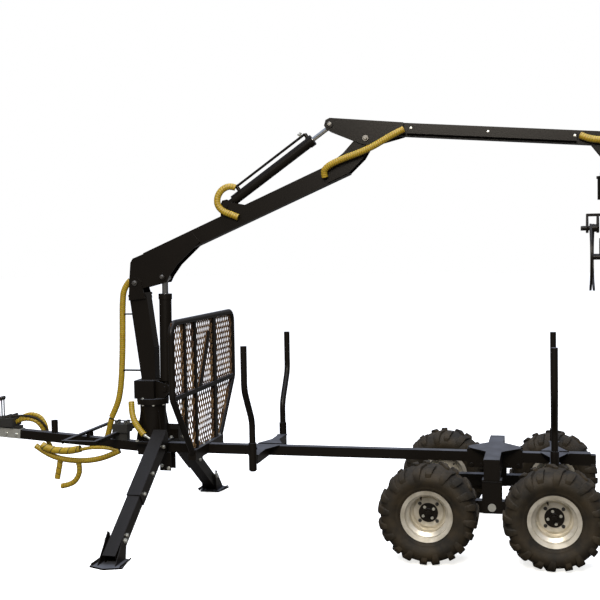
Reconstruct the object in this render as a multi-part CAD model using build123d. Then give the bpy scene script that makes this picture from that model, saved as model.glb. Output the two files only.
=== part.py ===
from build123d import *
import math
import os

# A small timber trailer with a hydraulic crane, towed behind a light tractor or quad bike.
# Millimetres. +X runs forward to the coupling, +Y to the left and +Z up.
# While it is drawn, X = 0 lies at the bogie pivot. The last lines move it to the middle.

# Wheels: a low pressure tyre on a steel rim
TYRE_R = 279.5
TYRE_WIDTH = 279.0
LUG_HEIGHT = 15.0
LUG_PAIRS = 16
LUG_THICK = 26.0
LUG_ANGLE = 20.0
SHOULDER_SKEW = 3.0
RIM_FLANGE_R = 145.0
RIM_SEAT_R = 127.0
RIM_WALL = 4.0
RIM_WIDTH = 224.0
HUB_R = 54.0
HUB_BARREL_R = 32.0
HUB_FLANGE_THICK = 8.0
WEB_THICK = 6.0
AXLE_R = 14.0
AXLE_RUNNING_GAP = 0.05
TRACK = 1080.0
WHEEL_BASE = 690.0
SEAT_GAP = 0.3

# Chassis beam and drawbar
BEAM = 60.0
BEAM_WALL = 4.0
BEAM_Z = 470.0
BEAM_REAR_X = -545.0
BEAM_FRONT_X = 2300.0
DRAWBAR_FRONT_X = 3210.0
DRAWBAR_RISE = 64.0
REAR_TUBE_X = -590.0
REAR_TUBE_GRIP = 160.0
REAR_SLEEVE = 70.0
REAR_SLEEVE_FRONT_X = -435.0
REAR_SLEEVE_REAR_X = -560.0

# Bogie
CROSS_WIDTH = 90.0
CROSS_BOTTOM_Z = 437.0
CROSS_TOP_Z = 550.0
CROSS_HALF = 390.0
CROSS_WALL = 5.0
STAR_PLATE = 6.0
STAR_REACH_X = 155.0
STAR_REACH_Y = 150.0
SLEEVE_HALF_X = 165.0
CLAMP_PLATE = 8.0
HANGER_HALF_X = 56.0
HANGER_PLATE = 8.0
HANGER_DROP = 35.0
WALKING_Y = 348.0
WALKING_WIDTH = 60.0
WALKING_HEIGHT = 70.0
WALKING_WALL = 6.0
PIVOT_R = 15.0
PIVOT_HEAD_R = 23.0
PIVOT_HEAD = 6.0
PIVOT_BOSS_R = 27.0

# Bunks and stakes
BUNK_X = (1422.0, -350.0)
BUNK_HALF = 370.0
BUNK_TUBE = 50.0
SOCKET_R = 24.0
SOCKET_BOTTOM_Z = 446.0
SOCKET_TOP_Z = 612.0
STAKE_R = 19.0
STAKE_BOTTOM_Z = 440.0
STAKE_TOP_Z = 1212.0
STAKE_BEND_Z = 745.0
STAKE_BEND_TOP_Z = 950.0
STAKE_FLARE = 150.0
STAKE_BEND_R = 140.0
BUNK_PLATE = 6.0
BUNK_PLATE_REACH = 80.0

# Headboard guard
GUARD_X = 1840.0
GUARD_TUBE_R = 19.0
GUARD_HALF = 600.0
GUARD_TOP_Z = 1350.0
GUARD_WAIST_Z = 900.0
GUARD_FOOT_HALF = 260.0
GUARD_FOOT_Z = 505.0
GUARD_CORNER_R = 70.0
MESH_ACROSS = 12
MESH_TALL = 1.5
MESH_STRAND = 7.0
MESH_THICK = 3.0

# Crane base and stabiliser legs
COLUMN_X = 2202.0
BASE_PLATE = 14.0
BASE_HALF = 105.0
BASE_TUBE_R = 84.0
BASE_TUBE_WALL = 10.0
BASE_TOP_Z = 800.0
BASE_FLANGE_R = 102.0
BASE_FLANGE = 14.0
CHEEK = 12.0
CHEEK_BOTTOM_Z = 450.0
LEG_X = 2112.0
LEG_SLEEVE = 90.0
LEG_SLEEVE_WALL = 5.0
LEG_TUBE_WALL = 5.0
LEG_TOP_Y = 125.0
LEG_TOP_Z = 572.0
LEG_ANGLE = 34.0
LEG_SLEEVE_LENGTH = 520.0
LEG_TUBE_START = 352.0
FOOT_PLATE = 10.0
FOOT_REACH = 100.0
FOOT_INNER = 70.0
FOOT_OUTER = 90.0
FOOT_NOSE = 130.0

# Crane column and mast
SHAFT_R = 60.0
SHAFT_GAP = 0.06
TURN_FLANGE_R = 104.0
TURN_FLANGE = 22.0
COLUMN_HALF_X = 100.0
COLUMN_HALF_Y = 75.0
COLUMN_TOP_Z = 940.0
MAST_WIDTH_X = 118.0
MAST_WIDTH_Y = 90.0
MAST_WALL = 6.0
MAST_LEAN = 7.4
BOOM_HINGE_X = 2282.0
BOOM_HINGE_Z = 1575.0
PIN_R = 17.5
PIN_GAP = 0.4
BOSS_R = 38.0
EAR = 12.0
EAR_GAP = 2.0

# Main boom
BOOM_WIDTH = 80.0
BOOM_DEPTH = 106.0
BOOM_WALL = 5.0
BOOM_SLOPE = 23.0
BOOM_TUBE_START_X = 2230.0
BOOM_TUBE_END_X = 905.0
BOOM_TOP_X = 1902.0
BOOM_TOP_Z = 1906.0
BOOM_PLATE = 10.0
ELBOW_X = 756.0
ELBOW_Z = 2443.0
LIFT_TOP_X = 2098.0
LIFT_TOP_Z = 1612.0
LIFT_BASE_X = 2106.0
LIFT_BASE_Z = 882.0

# Arm
ARM_WIDTH = 70.0
ARM_DEPTH = 80.0
ARM_WALL = 5.0
ARM_SLOPE = -5.0
ARM_TOP_X = 514.0
ARM_TOP_Z = 2528.0
ARM_TUBE_START_X = 640.0
ARM_TUBE_END_X = -690.0
CRANK_END_X = 525.0
ARM_PLATE = 10.0
LUG_X = 978.0
LUG_Z = 2537.0
COVER_HEIGHT = 52.0
COVER_DEPTH = 42.0
COVER_WALL = 3.0
COVER_FRONT_X = 500.0
COVER_REAR_X = -490.0
ARM_CYL_BASE_X = 1665.0
ARM_CYL_BASE_Z = 2062.0
TIP_PIN_X = -652.0
TIP_PIN_Z = 2300.0

# Cylinders: barrel and rod sizes, with the length of each barrel from its base pin
LIFT_BARREL_R = 40.0
LIFT_BARREL_LENGTH = 620.0
LIFT_ROD_R = 20.0
ARM_BARREL_R = 32.0
ARM_BARREL_LENGTH = 690.0
ARM_ROD_R = 14.0
CYLINDER_WALL = 6.0
ROD_SLIDE_GAP = 0.05
EYE_R = 34.0
EYE_WIDTH = 44.0
CLEVIS_SIDE_GAP = 3.0
PIPE_START = 120.0
PIPE_HEIGHT = 60.0
PIPE_R = 8.0
PIPE_PORT_R = 12.0

# Grapple
ROTATOR_R = 48.0
ROTATOR_TOP_Z = 2170.0
ROTATOR_BOTTOM_Z = 2050.0
HEAD_HALF_X = 112.0
HEAD_HALF_Y = 60.0
HEAD_PLATE = 10.0
HEAD_INNER_X = 42.0
HEAD_TOP_Z = 1952.0
JAW_PIN_Y = 60.0
JAW_PIN_Z = 1868.0
JAW_PIN_R = 13.0
JAW_TIP_Z = 1500.0
JAW_TINE = 12.0
JAW_SPREAD_WIDE = 90.0
JAW_SPREAD_NARROW = 70.0
JAW_EAR_IN = 24.0
JAW_BAR_Y = 142.0
JAW_BAR_Z = 1700.0
JAW_BAR_R = 16.0
JAW_EYE_Y = 132.0
JAW_EYE_Z = 1788.0
JAW_EYE_R = 20.0
JAW_EYE_PIN_R = 9.0
JAW_BARREL_R = 23.0
JAW_BARREL_END_Y = -62.0
JAW_ROD_R = 11.0

# Control valves, distributor block, step and stub tube
VALVE_REAR_X = 3190.0
VALVE_FRONT_X = 3330.0
VALVE_HALF_Y = 62.0
LEVER_X = 3308.0
LEVER_TOP_Z = 796.0
BLOCK_REAR_X = 2382.0
BLOCK_FRONT_X = 2462.0
BLOCK_TOP_Z = 645.0
STEP_FRONT_X = 2800.0
STEP_REAR_X = 2560.0
STEP_HALF = 150.0
STEP_BAR = 10.0
STEP_EDGE = 24.0
STUB_X = 2911.0
STUB_R = 22.0
STUB_WALL = 4.0
STUB_RELIEF = 1.5
STUB_FOOT_Z = 579.0
STUB_TOP_Z = 657.0

# Hoses in yellow spiral guard
GUARD_HOSE_R = 17.0
THIN_HOSE_R = 13.0
BUNDLE_HOSE_R = 16.0
LEG_HOSE_R = 15.0
COLUMN_HOSE_R = 21.0

parts = {}


def beam_between(start, end, width, height, wall=0.0):
    """A rectangular tube, or a bar, whose width stays level."""
    a = Vector(*start)
    b = Vector(*end)
    along = (b - a).normalized()
    level = Vector(0, 0, 1).cross(along)
    if level.length < 0.01:
        level = Vector(0, 1, 0)
    plane = Plane(origin=a, x_dir=level.normalized(), z_dir=along)
    shape = Rectangle(width, height)
    if wall:
        shape -= Rectangle(width - 2 * wall, height - 2 * wall)
    return extrude(plane * shape, (b - a).length)


def rod_between(start, end, radius, bore=0.0):
    a = Vector(*start)
    b = Vector(*end)
    plane = Plane(origin=a, z_dir=(b - a).normalized())
    shape = Circle(radius)
    if bore:
        shape -= Circle(bore)
    return extrude(plane * shape, (b - a).length)


def cross_rod(x, z, y_from, y_to, radius, bore=0.0):
    return rod_between((x, y_from, z), (x, y_to, z), radius, bore)


def side_plate(points, y_from, y_to):
    """A flat plate cut to an outline of (x, z) points, standing along the trailer."""
    face = make_face(Polyline(*[(x, z) for x, z in points], close=True))
    plane = Plane(origin=(0, y_from, 0), x_dir=(1, 0, 0), z_dir=(0, -1, 0))
    return extrude(plane * face, -(y_to - y_from))


def cross_plate(points, x_from, x_to):
    """A flat plate cut to an outline of (y, z) points, standing across the trailer."""
    face = make_face(Polyline(*[(y, z) for y, z in points], close=True))
    plane = Plane(origin=(x_from, 0, 0), x_dir=(0, 1, 0), z_dir=(1, 0, 0))
    return extrude(plane * face, x_to - x_from)


def level_plate(points, z_from, z_to):
    face = make_face(Polyline(*[(x, y) for x, y in points], close=True))
    return extrude(Plane(origin=(0, 0, z_from)) * face, z_to - z_from)


def block(x_from, x_to, y_from, y_to, z_from, z_to):
    size = (x_to - x_from, y_to - y_from, z_to - z_from)
    middle = ((x_from + x_to) / 2, (y_from + y_to) / 2, (z_from + z_to) / 2)
    return Pos(*middle) * Box(*size)


def both_sides(solid):
    return [solid, mirror(solid, Plane.XZ)]


def hose(points, radius, bends):
    """A tube along straight runs joined by arcs, one bend radius for each corner."""
    line = FilletPolyline(*points, radius=bends)
    start = Plane(origin=line @ 0, z_dir=line % 0)
    return sweep(start * Circle(radius), path=line)


def along(start, end, distance):
    a = Vector(*start)
    b = Vector(*end)
    return a + (b - a).normalized() * distance


# Chassis beam with the drawbar that rises to the coupling
beam_mid_z = BEAM_Z + BEAM / 2
beam_top_z = BEAM_Z + BEAM
parts["main_beam"] = beam_between((BEAM_REAR_X, 0, beam_mid_z), (BEAM_FRONT_X, 0, beam_mid_z),
                                  BEAM, BEAM, BEAM_WALL)

drawbar_front_z = beam_mid_z + DRAWBAR_RISE
drawbar_slope = DRAWBAR_RISE / (DRAWBAR_FRONT_X - BEAM_FRONT_X)


def drawbar_z(x):
    return beam_mid_z + drawbar_slope * (x - BEAM_FRONT_X)


back_x = BEAM_FRONT_X - 40
drawbar = beam_between((back_x, 0, drawbar_z(back_x)), (DRAWBAR_FRONT_X, 0, drawbar_front_z),
                       BEAM, BEAM, BEAM_WALL)
drawbar -= block(back_x - 50, BEAM_FRONT_X, -BEAM, BEAM, BEAM_Z - BEAM, beam_top_z + BEAM)
parts["drawbar"] = drawbar

# Rear end: a slimmer tube inside the beam, and a sleeve that carries the rear bunk
rear_inner = BEAM - 2 * BEAM_WALL - 2 * SEAT_GAP
sleeve_inner = BEAM + 2 * SEAT_GAP
rear_sleeve = beam_between((REAR_SLEEVE_REAR_X, 0, beam_mid_z), (REAR_SLEEVE_FRONT_X, 0, beam_mid_z),
                           REAR_SLEEVE, REAR_SLEEVE, (REAR_SLEEVE - sleeve_inner) / 2)
rear_tube = beam_between((REAR_TUBE_X, 0, beam_mid_z), (BEAM_REAR_X + REAR_TUBE_GRIP, 0, beam_mid_z),
                         rear_inner, rear_inner, BEAM_WALL)
parts["rear_end"] = [rear_sleeve, rear_tube]

# Ball coupling: a pressed channel over the end of the drawbar with the ball cup in its nose
COUPLING_REAR_X = 3150.0
COUPLING_NOSE_X = 3395.0
COUPLING_BALL_X = 3352.0
CUP_R = 38.0
BALL_R = 25.2
channel_half = BEAM / 2 + SEAT_GAP
plate = 4.0
coupling_z = drawbar_z(COUPLING_REAR_X)
cup_z = drawbar_z(COUPLING_BALL_X) - 6
channel = beam_between((COUPLING_REAR_X, 0, coupling_z + plate / 2),
                       (COUPLING_BALL_X, 0, drawbar_z(COUPLING_BALL_X) + plate / 2),
                       BEAM + 2 * (SEAT_GAP + plate), BEAM + 2 * SEAT_GAP + plate)
inner = beam_between((COUPLING_REAR_X - 40, 0, drawbar_z(COUPLING_REAR_X - 40) - BEAM / 2),
                     (COUPLING_BALL_X + 60, 0, drawbar_z(COUPLING_BALL_X + 60) - BEAM / 2),
                     BEAM + 2 * SEAT_GAP, 2 * (BEAM + SEAT_GAP))
cup = Pos(COUPLING_BALL_X, 0, cup_z) * Sphere(CUP_R)
cup -= block(COUPLING_BALL_X - 60, COUPLING_BALL_X + 60, -60, 60, cup_z - 60, cup_z - 18)
bridge = block(DRAWBAR_FRONT_X + 8, COUPLING_BALL_X, -channel_half, channel_half,
               cup_z - 10, drawbar_z(COUPLING_BALL_X) + BEAM / 2 - 8)
coupling = (channel - inner) + bridge + cup
coupling -= Pos(COUPLING_BALL_X, 0, cup_z) * Sphere(BALL_R)
coupling -= rod_between((COUPLING_BALL_X, 0, cup_z - CUP_R), (COUPLING_BALL_X, 0, cup_z), BALL_R)
parts["coupling"] = coupling

# Bogie carrier: a cross-beam through which the chassis beam passes, with a star-shaped top plate,
# clamp cheeks along the beam and a forked hanger at each end
half = CROSS_WIDTH / 2
cross = block(-half, half, -CROSS_HALF, CROSS_HALF, CROSS_BOTTOM_Z, CROSS_TOP_Z)
cross -= block(-half + CROSS_WALL, half - CROSS_WALL, -CROSS_HALF + CROSS_WALL, CROSS_HALF - CROSS_WALL,
               CROSS_BOTTOM_Z + CROSS_WALL, CROSS_TOP_Z - CROSS_WALL)
cross -= block(-half - 1, half + 1, -BEAM / 2, BEAM / 2, BEAM_Z, beam_top_z)
arm_w = half
star = level_plate([(arm_w, CROSS_HALF), (arm_w, STAR_REACH_Y), (STAR_REACH_X, BEAM / 2),
                    (STAR_REACH_X, -BEAM / 2), (arm_w, -STAR_REACH_Y), (arm_w, -CROSS_HALF),
                    (-arm_w, -CROSS_HALF), (-arm_w, -STAR_REACH_Y), (-STAR_REACH_X, -BEAM / 2),
                    (-STAR_REACH_X, BEAM / 2), (-arm_w, STAR_REACH_Y), (-arm_w, CROSS_HALF)],
                   CROSS_TOP_Z, CROSS_TOP_Z + STAR_PLATE)
carrier = cross + star
cheek_bottom = BEAM_Z - 34
for x_from, x_to in ((half, SLEEVE_HALF_X), (-SLEEVE_HALF_X, -half)):
    for side in (-1, 1):
        y_in = side * BEAM / 2
        y_out = side * (BEAM / 2 + CLAMP_PLATE)
        carrier += block(x_from, x_to, min(y_in, y_out), max(y_in, y_out), cheek_bottom, CROSS_TOP_Z)
    carrier += block(x_from, x_to, -BEAM / 2, BEAM / 2, cheek_bottom, BEAM_Z)
axle_z = TYRE_R
hanger_bottom = axle_z - HANGER_DROP
fork_in = WALKING_Y - WALKING_WIDTH / 2 - 1
fork_out = WALKING_Y + WALKING_WIDTH / 2 + 1
for side in (-1, 1):
    for y_in, y_out in ((fork_in - HANGER_PLATE, fork_in), (fork_out, fork_out + HANGER_PLATE)):
        carrier += block(-HANGER_HALF_X, HANGER_HALF_X, min(side * y_in, side * y_out),
                         max(side * y_in, side * y_out), hanger_bottom, CROSS_BOTTOM_Z)
    y_a = side * (fork_in - HANGER_PLATE)
    y_b = side * (fork_out + HANGER_PLATE)
    carrier += block(-HANGER_HALF_X, HANGER_HALF_X, min(y_a, y_b), max(y_a, y_b),
                     CROSS_BOTTOM_Z - 12, CROSS_BOTTOM_Z)
    carrier -= cross_rod(0, axle_z, side * (CROSS_HALF + 60), side * 200, PIVOT_R + SEAT_GAP)
parts["axle_cross_beam"] = carrier

# Walking beams with their stub axles, and the pivot pins they rock on
half_base = WHEEL_BASE / 2
walking = []
pins = []
hub_inner_y = TRACK / 2 - 96
axle_end_y = TRACK / 2 - 8
for side in (-1, 1):
    y_mid = side * WALKING_Y
    body = beam_between((-half_base - 32, y_mid, axle_z), (half_base + 32, y_mid, axle_z),
                        WALKING_WIDTH, WALKING_HEIGHT, WALKING_WALL)
    y_a = y_mid - WALKING_WIDTH / 2
    y_b = y_mid + WALKING_WIDTH / 2
    body += cross_rod(0, axle_z, y_a, y_b, PIVOT_BOSS_R)
    body -= cross_rod(0, axle_z, y_a - 1, y_b + 1, PIVOT_R + SEAT_GAP)
    for x in (-half_base, half_base):
        root_y = side * (WALKING_Y - WALKING_WIDTH / 2)
        shoulder_y = side * (hub_inner_y - 2)
        tip_y = side * axle_end_y
        body += cross_rod(x, axle_z, min(root_y, shoulder_y), max(root_y, shoulder_y), 24)
        body += cross_rod(x, axle_z, min(root_y, tip_y), max(root_y, tip_y), AXLE_R)
    walking.append(body)
    head_y = side * (fork_out + HANGER_PLATE)
    inner_y = side * (fork_in - HANGER_PLATE)
    pin = cross_rod(0, axle_z, min(head_y, inner_y), max(head_y, inner_y), PIVOT_R)
    outer_y = head_y + side * PIVOT_HEAD
    pin += cross_rod(0, axle_z, min(head_y, outer_y), max(head_y, outer_y), PIVOT_HEAD_R)
    nut_y = inner_y - side * 14
    pin += cross_rod(0, axle_z, min(nut_y, inner_y), max(nut_y, inner_y), PIVOT_HEAD_R)
    pins.append(pin)
parts["bogie_beams"] = walking
parts["bogie_pivots"] = pins

# Wheels: each profile is drawn as (radius, offset towards the outside) and turned
half_rim = RIM_WIDTH / 2
well_r = RIM_SEAT_R - 20
rim_profile = [(RIM_FLANGE_R, half_rim), (RIM_FLANGE_R, half_rim - RIM_WALL),
               (RIM_SEAT_R, half_rim - 10), (RIM_SEAT_R, 66), (well_r, 54), (well_r, -50),
               (RIM_SEAT_R, -66), (RIM_SEAT_R, -half_rim + 10), (RIM_FLANGE_R, -half_rim + RIM_WALL),
               (RIM_FLANGE_R, -half_rim), (RIM_SEAT_R - RIM_WALL, -half_rim + 6),
               (RIM_SEAT_R - RIM_WALL, -68), (well_r - RIM_WALL, -52), (well_r - RIM_WALL, -8),
               (92, -8), (80, 0), (HUB_BARREL_R + SEAT_GAP, 0), (HUB_BARREL_R + SEAT_GAP, WEB_THICK),
               (82, WEB_THICK), (94, -2), (well_r - RIM_WALL, -2), (well_r - RIM_WALL, 56),
               (RIM_SEAT_R - RIM_WALL, 68), (RIM_SEAT_R - RIM_WALL, half_rim - 6)]
carcass_r = TYRE_R - LUG_HEIGHT
half_tyre = TYRE_WIDTH / 2
bead_r = RIM_SEAT_R + SEAT_GAP
tyre_profile = [(bead_r, half_rim - 12), (RIM_FLANGE_R + 8, half_rim - 2), (170, half_tyre - 8),
                (205, half_tyre), (235, half_tyre - 8), (255, half_tyre - 32), (carcass_r, half_tyre - 66),
                (carcass_r, -half_tyre + 66), (255, -half_tyre + 32), (235, -half_tyre + 8),
                (205, -half_tyre), (170, -half_tyre + 8), (RIM_FLANGE_R + 8, -half_rim + 2),
                (bead_r, -half_rim + 12), (bead_r, -half_rim + 36), (200, -half_tyre + 16),
                (carcass_r - 14, -half_tyre + 66), (carcass_r - 14, half_tyre - 66),
                (200, half_tyre - 16), (bead_r, half_rim - 36)]


def turned(profile):
    """Turns a (radius, offset) outline about the wheel's own axle line, which is Y."""
    face = make_face(Polyline(*[(r, y) for r, y in profile], close=True))
    return revolve(Plane.XY * face, Axis.Y)


# Lug rows: inner edge, outer edge, skew in degrees and offset in lug steps
lug_rows = ((4, half_tyre - 40, LUG_ANGLE, 0), (-half_tyre + 40, -4, -LUG_ANGLE, 0.5))


def make_tyre():
    tyre = turned(tyre_profile)
    step = 360 / LUG_PAIRS
    root_r = carcass_r - 6
    for y_in, y_out, skew, turn in lug_rows:
        for count in range(LUG_PAIRS):
            length = y_out - y_in
            lug = Pos(0, (y_in + y_out) / 2, (root_r + TYRE_R) / 2) * (
                Rot(0, 0, skew) * Box(LUG_THICK, length, TYRE_R - root_r))
            tyre += Rot(0, step * (count + turn), 0) * lug
    shoulder_y = half_tyre - 30
    for side, turn in ((1, 0), (-1, 0.5)):
        for count in range(LUG_PAIRS):
            tread = cross_plate([(side * (shoulder_y - 14), 250), (side * (shoulder_y - 14), TYRE_R),
                                 (side * (shoulder_y + 6), TYRE_R - 8), (side * (half_tyre - 2), 244)],
                                -LUG_THICK / 2, LUG_THICK / 2)
            tyre += Rot(0, step * (count + turn) + side * SHOULDER_SKEW, 0) * tread
    return tyre & cross_rod(0, 0, -half_tyre - 1, half_tyre + 1, TYRE_R)


def make_hub():
    hub = cross_rod(0, 0, WEB_THICK, WEB_THICK + HUB_FLANGE_THICK, HUB_R)
    hub += cross_rod(0, 0, hub_inner_y - TRACK / 2, WEB_THICK, HUB_BARREL_R)
    hub += cross_rod(0, 0, WEB_THICK, 26, 24)
    hub -= cross_rod(0, 0, hub_inner_y - TRACK / 2 - 1, axle_end_y - TRACK / 2 + 1, AXLE_R + AXLE_RUNNING_GAP)
    return hub


tyre = make_tyre()
rim = turned(rim_profile)
hole_ring = PolarLocations(68, 4, 45)
for location in hole_ring:
    x, y = location.position.X, location.position.Y
    rim -= cross_rod(x, y, -20, 20, 7)
hub = make_hub()
for end, x in (("front", half_base), ("rear", -half_base)):
    for side_name, turn, y in (("left", 0, TRACK / 2), ("right", 180, -TRACK / 2)):
        place = Location((x, y, axle_z), (0, 0, turn))
        parts["tyre_" + end + "_" + side_name] = place * tyre
        parts["rim_" + end + "_" + side_name] = place * rim
        parts["hub_" + end + "_" + side_name] = place * hub

# Bunks: a cross tube on each side of the beam with a stake socket at its end
bunks = []
stakes = []
for x in BUNK_X:
    for side in (-1, 1):
        y_in = side * BEAM / 2
        y_out = side * (BUNK_HALF - SOCKET_R + 6)
        cross_z = beam_top_z - BUNK_TUBE / 2
        bunk = beam_between((x, y_in, cross_z), (x, y_out, cross_z), BUNK_TUBE, BUNK_TUBE)
        gusset = level_plate([(x - BUNK_PLATE_REACH, y_in), (x + BUNK_PLATE_REACH, y_in),
                              (x + BUNK_TUBE / 2, side * 170), (x + BUNK_TUBE / 2, y_out - side * 60),
                              (x + 34, y_out), (x - 34, y_out), (x - BUNK_TUBE / 2, y_out - side * 60),
                              (x - BUNK_TUBE / 2, side * 170)], beam_top_z, beam_top_z + BUNK_PLATE)
        bunk += gusset
        y = side * BUNK_HALF
        bunk += rod_between((x, y, SOCKET_BOTTOM_Z), (x, y, SOCKET_TOP_Z), SOCKET_R)
        bunk -= rod_between((x, y, SOCKET_BOTTOM_Z - 1), (x, y, SOCKET_TOP_Z + 1), STAKE_R + SEAT_GAP)
        bunks.append(bunk)
        flare_y = side * (BUNK_HALF + STAKE_FLARE)
        route = [(x, y, STAKE_BOTTOM_Z), (x, y, STAKE_BEND_Z), (x, flare_y, STAKE_BEND_TOP_Z),
                 (x, flare_y, STAKE_TOP_Z)]
        stakes.append(hose(route, STAKE_R, STAKE_BEND_R))
parts["bunks"] = bunks
parts["stakes"] = stakes

# Headboard guard: a bent tube frame with uprights, filled with expanded metal
frame_points = [(GUARD_X, GUARD_FOOT_HALF, GUARD_FOOT_Z), (GUARD_X, GUARD_HALF, GUARD_WAIST_Z),
                (GUARD_X, GUARD_HALF, GUARD_TOP_Z), (GUARD_X, -GUARD_HALF, GUARD_TOP_Z),
                (GUARD_X, -GUARD_HALF, GUARD_WAIST_Z), (GUARD_X, -GUARD_FOOT_HALF, GUARD_FOOT_Z)]
guard = hose(frame_points, GUARD_TUBE_R, GUARD_CORNER_R)
bar_x = GUARD_X
for y, half_width in ((390, 14), (200, 14), (-180, 25)):
    low = GUARD_FOOT_Z + 8
    if y > GUARD_FOOT_HALF:
        low = GUARD_FOOT_Z + (GUARD_WAIST_Z - GUARD_FOOT_Z) * (y - GUARD_FOOT_HALF) / (GUARD_HALF - GUARD_FOOT_HALF)
    guard += block(bar_x - 14, bar_x + 14, y - half_width, y + half_width, low, GUARD_TOP_Z)
guard += block(bar_x - 14, bar_x + 14, -GUARD_HALF, GUARD_HALF, GUARD_WAIST_Z - 12, GUARD_WAIST_Z + 14)
guard += beam_between((bar_x, -80, 1250), (bar_x, 120, GUARD_WAIST_Z), 24, 24)
guard += block(bar_x - 25, bar_x + 25, -GUARD_FOOT_HALF - 20, -BEAM / 2, BEAM_Z + 4, beam_top_z)
guard += block(bar_x - 25, bar_x + 25, BEAM / 2, GUARD_FOOT_HALF + 20, BEAM_Z + 4, beam_top_z)
guard += block(bar_x - 25, bar_x + 25, -GUARD_FOOT_HALF - 20, GUARD_FOOT_HALF + 20, beam_top_z,
               beam_top_z + 8)
parts["guard_frame"] = guard

mesh_back = bar_x - GUARD_TUBE_R
outline = [(GUARD_FOOT_HALF, GUARD_FOOT_Z + 40), (GUARD_HALF, GUARD_WAIST_Z), (GUARD_HALF, GUARD_TOP_Z),
           (-GUARD_HALF, GUARD_TOP_Z), (-GUARD_HALF, GUARD_WAIST_Z), (-GUARD_FOOT_HALF, GUARD_FOOT_Z + 40)]
sheet = make_face(Polyline(*outline, close=True))
field = offset(sheet, -MESH_STRAND)
cell_width = 2 * GUARD_HALF / MESH_ACROSS
cell_height = cell_width * MESH_TALL
wide = cell_width / 2 - MESH_STRAND
tall = wide * MESH_TALL
diamond = make_face(Polyline((wide, 0), (0, tall), (-wide, 0), (0, -tall), close=True))
openings = []
for row in range(int(2 * (GUARD_TOP_Z - GUARD_FOOT_Z) / cell_height) + 1):
    shift = cell_width / 2 * (row % 2)
    for column in range(MESH_ACROSS + 1):
        openings.append(Pos(column * cell_width - GUARD_HALF + shift,
                            GUARD_TOP_Z - row * cell_height / 2) * diamond)
sheet -= field & (Sketch() + openings)
plane = Plane(origin=(mesh_back - MESH_THICK, 0, 0), x_dir=(0, 1, 0), z_dir=(1, 0, 0))
sheet = extrude(plane * sheet, MESH_THICK)
parts["guard_mesh"] = sheet

# Crane base: cheeks on both sides of the beam, a base plate and the fixed bearing tube
base = block(COLUMN_X - BASE_HALF, BEAM_FRONT_X, -BASE_HALF + 10, BASE_HALF - 10,
             beam_top_z, beam_top_z + BASE_PLATE)
for side in (-1, 1):
    y_in = side * BEAM / 2
    y_out = side * (BEAM / 2 + CHEEK)
    base += block(COLUMN_X - BASE_HALF, BEAM_FRONT_X, min(y_in, y_out), max(y_in, y_out),
                  CHEEK_BOTTOM_Z, beam_top_z)
base += block(COLUMN_X - BASE_HALF, BEAM_FRONT_X, -BEAM / 2 - CHEEK, BEAM / 2 + CHEEK,
              CHEEK_BOTTOM_Z, BEAM_Z)
base += rod_between((COLUMN_X, 0, beam_top_z + BASE_PLATE), (COLUMN_X, 0, BASE_TOP_Z), BASE_TUBE_R)
base += rod_between((COLUMN_X, 0, BASE_TOP_Z - BASE_FLANGE), (COLUMN_X, 0, BASE_TOP_Z), BASE_FLANGE_R)
base_floor_z = beam_top_z + BASE_PLATE
for angle in (45, 135, 225, 315):
    rib = side_plate([(BASE_TUBE_R - 6, base_floor_z), (BASE_HALF + 18, base_floor_z),
                      (BASE_TUBE_R + 4, BASE_TOP_Z - 60), (BASE_TUBE_R - 6, BASE_TOP_Z - 60)], -5, 5)
    base += Pos(COLUMN_X, 0, 0) * (Rot(0, 0, angle) * rib)
base -= rod_between((COLUMN_X, 0, beam_top_z + 20), (COLUMN_X, 0, BASE_TOP_Z + 1), SHAFT_R + SHAFT_GAP)
parts["crane_base"] = base

# Stabiliser legs: a fixed sleeve, a sliding tube with a foot plate, one on each side
leg_dir = Vector(0, math.cos(math.radians(LEG_ANGLE)), -math.sin(math.radians(LEG_ANGLE)))
leg_start = Vector(LEG_X, LEG_TOP_Y, LEG_TOP_Z)
sleeve_end = leg_start + leg_dir * LEG_SLEEVE_LENGTH
inner_start = leg_start + leg_dir * LEG_TUBE_START
foot_z = FOOT_PLATE
leg_tube = LEG_SLEEVE - 2 * LEG_SLEEVE_WALL - 2 * SEAT_GAP
leg_drop = LEG_TOP_Z - foot_z - leg_tube / 2 * math.cos(math.radians(LEG_ANGLE))
leg_reach = leg_drop / math.sin(math.radians(LEG_ANGLE))
leg_end = leg_start + leg_dir * (leg_reach + 30)
sleeve = beam_between(tuple(leg_start), tuple(sleeve_end), LEG_SLEEVE, LEG_SLEEVE, LEG_SLEEVE_WALL)
sleeve_root = leg_start - leg_dir * 40
sleeve += beam_between(tuple(sleeve_root), tuple(leg_start), LEG_SLEEVE, LEG_SLEEVE)
sleeve -= block(LEG_X - 200, LEG_X + 200, -200, BEAM / 2 + CHEEK, 0, 900)
sleeve -= block(COLUMN_X - BASE_HALF - 1, COLUMN_X + BASE_HALF + 60, -BASE_HALF + 10, BASE_HALF - 10,
                beam_top_z, beam_top_z + BASE_PLATE + 400)
sleeve -= block(COLUMN_X - 400, COLUMN_X + 400, -400, BASE_HALF - 10, beam_top_z, 900)
inner_leg = beam_between(tuple(inner_start), tuple(leg_end), leg_tube, leg_tube, LEG_TUBE_WALL)
inner_leg -= block(LEG_X - 200, LEG_X + 200, 0, 2000, -300, foot_z)
foot_y = leg_start.Y + leg_dir.Y * leg_reach
foot = level_plate([(LEG_X + FOOT_INNER, foot_y - FOOT_INNER), (LEG_X + FOOT_REACH, foot_y + FOOT_OUTER),
                    (LEG_X, foot_y + FOOT_NOSE), (LEG_X - FOOT_REACH, foot_y + FOOT_OUTER),
                    (LEG_X - FOOT_INNER, foot_y - FOOT_INNER)], 0, foot_z)
parts["leg_left"], parts["leg_right"] = both_sides(inner_leg + foot)
parts["leg_sleeves"] = both_sides(sleeve)

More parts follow.
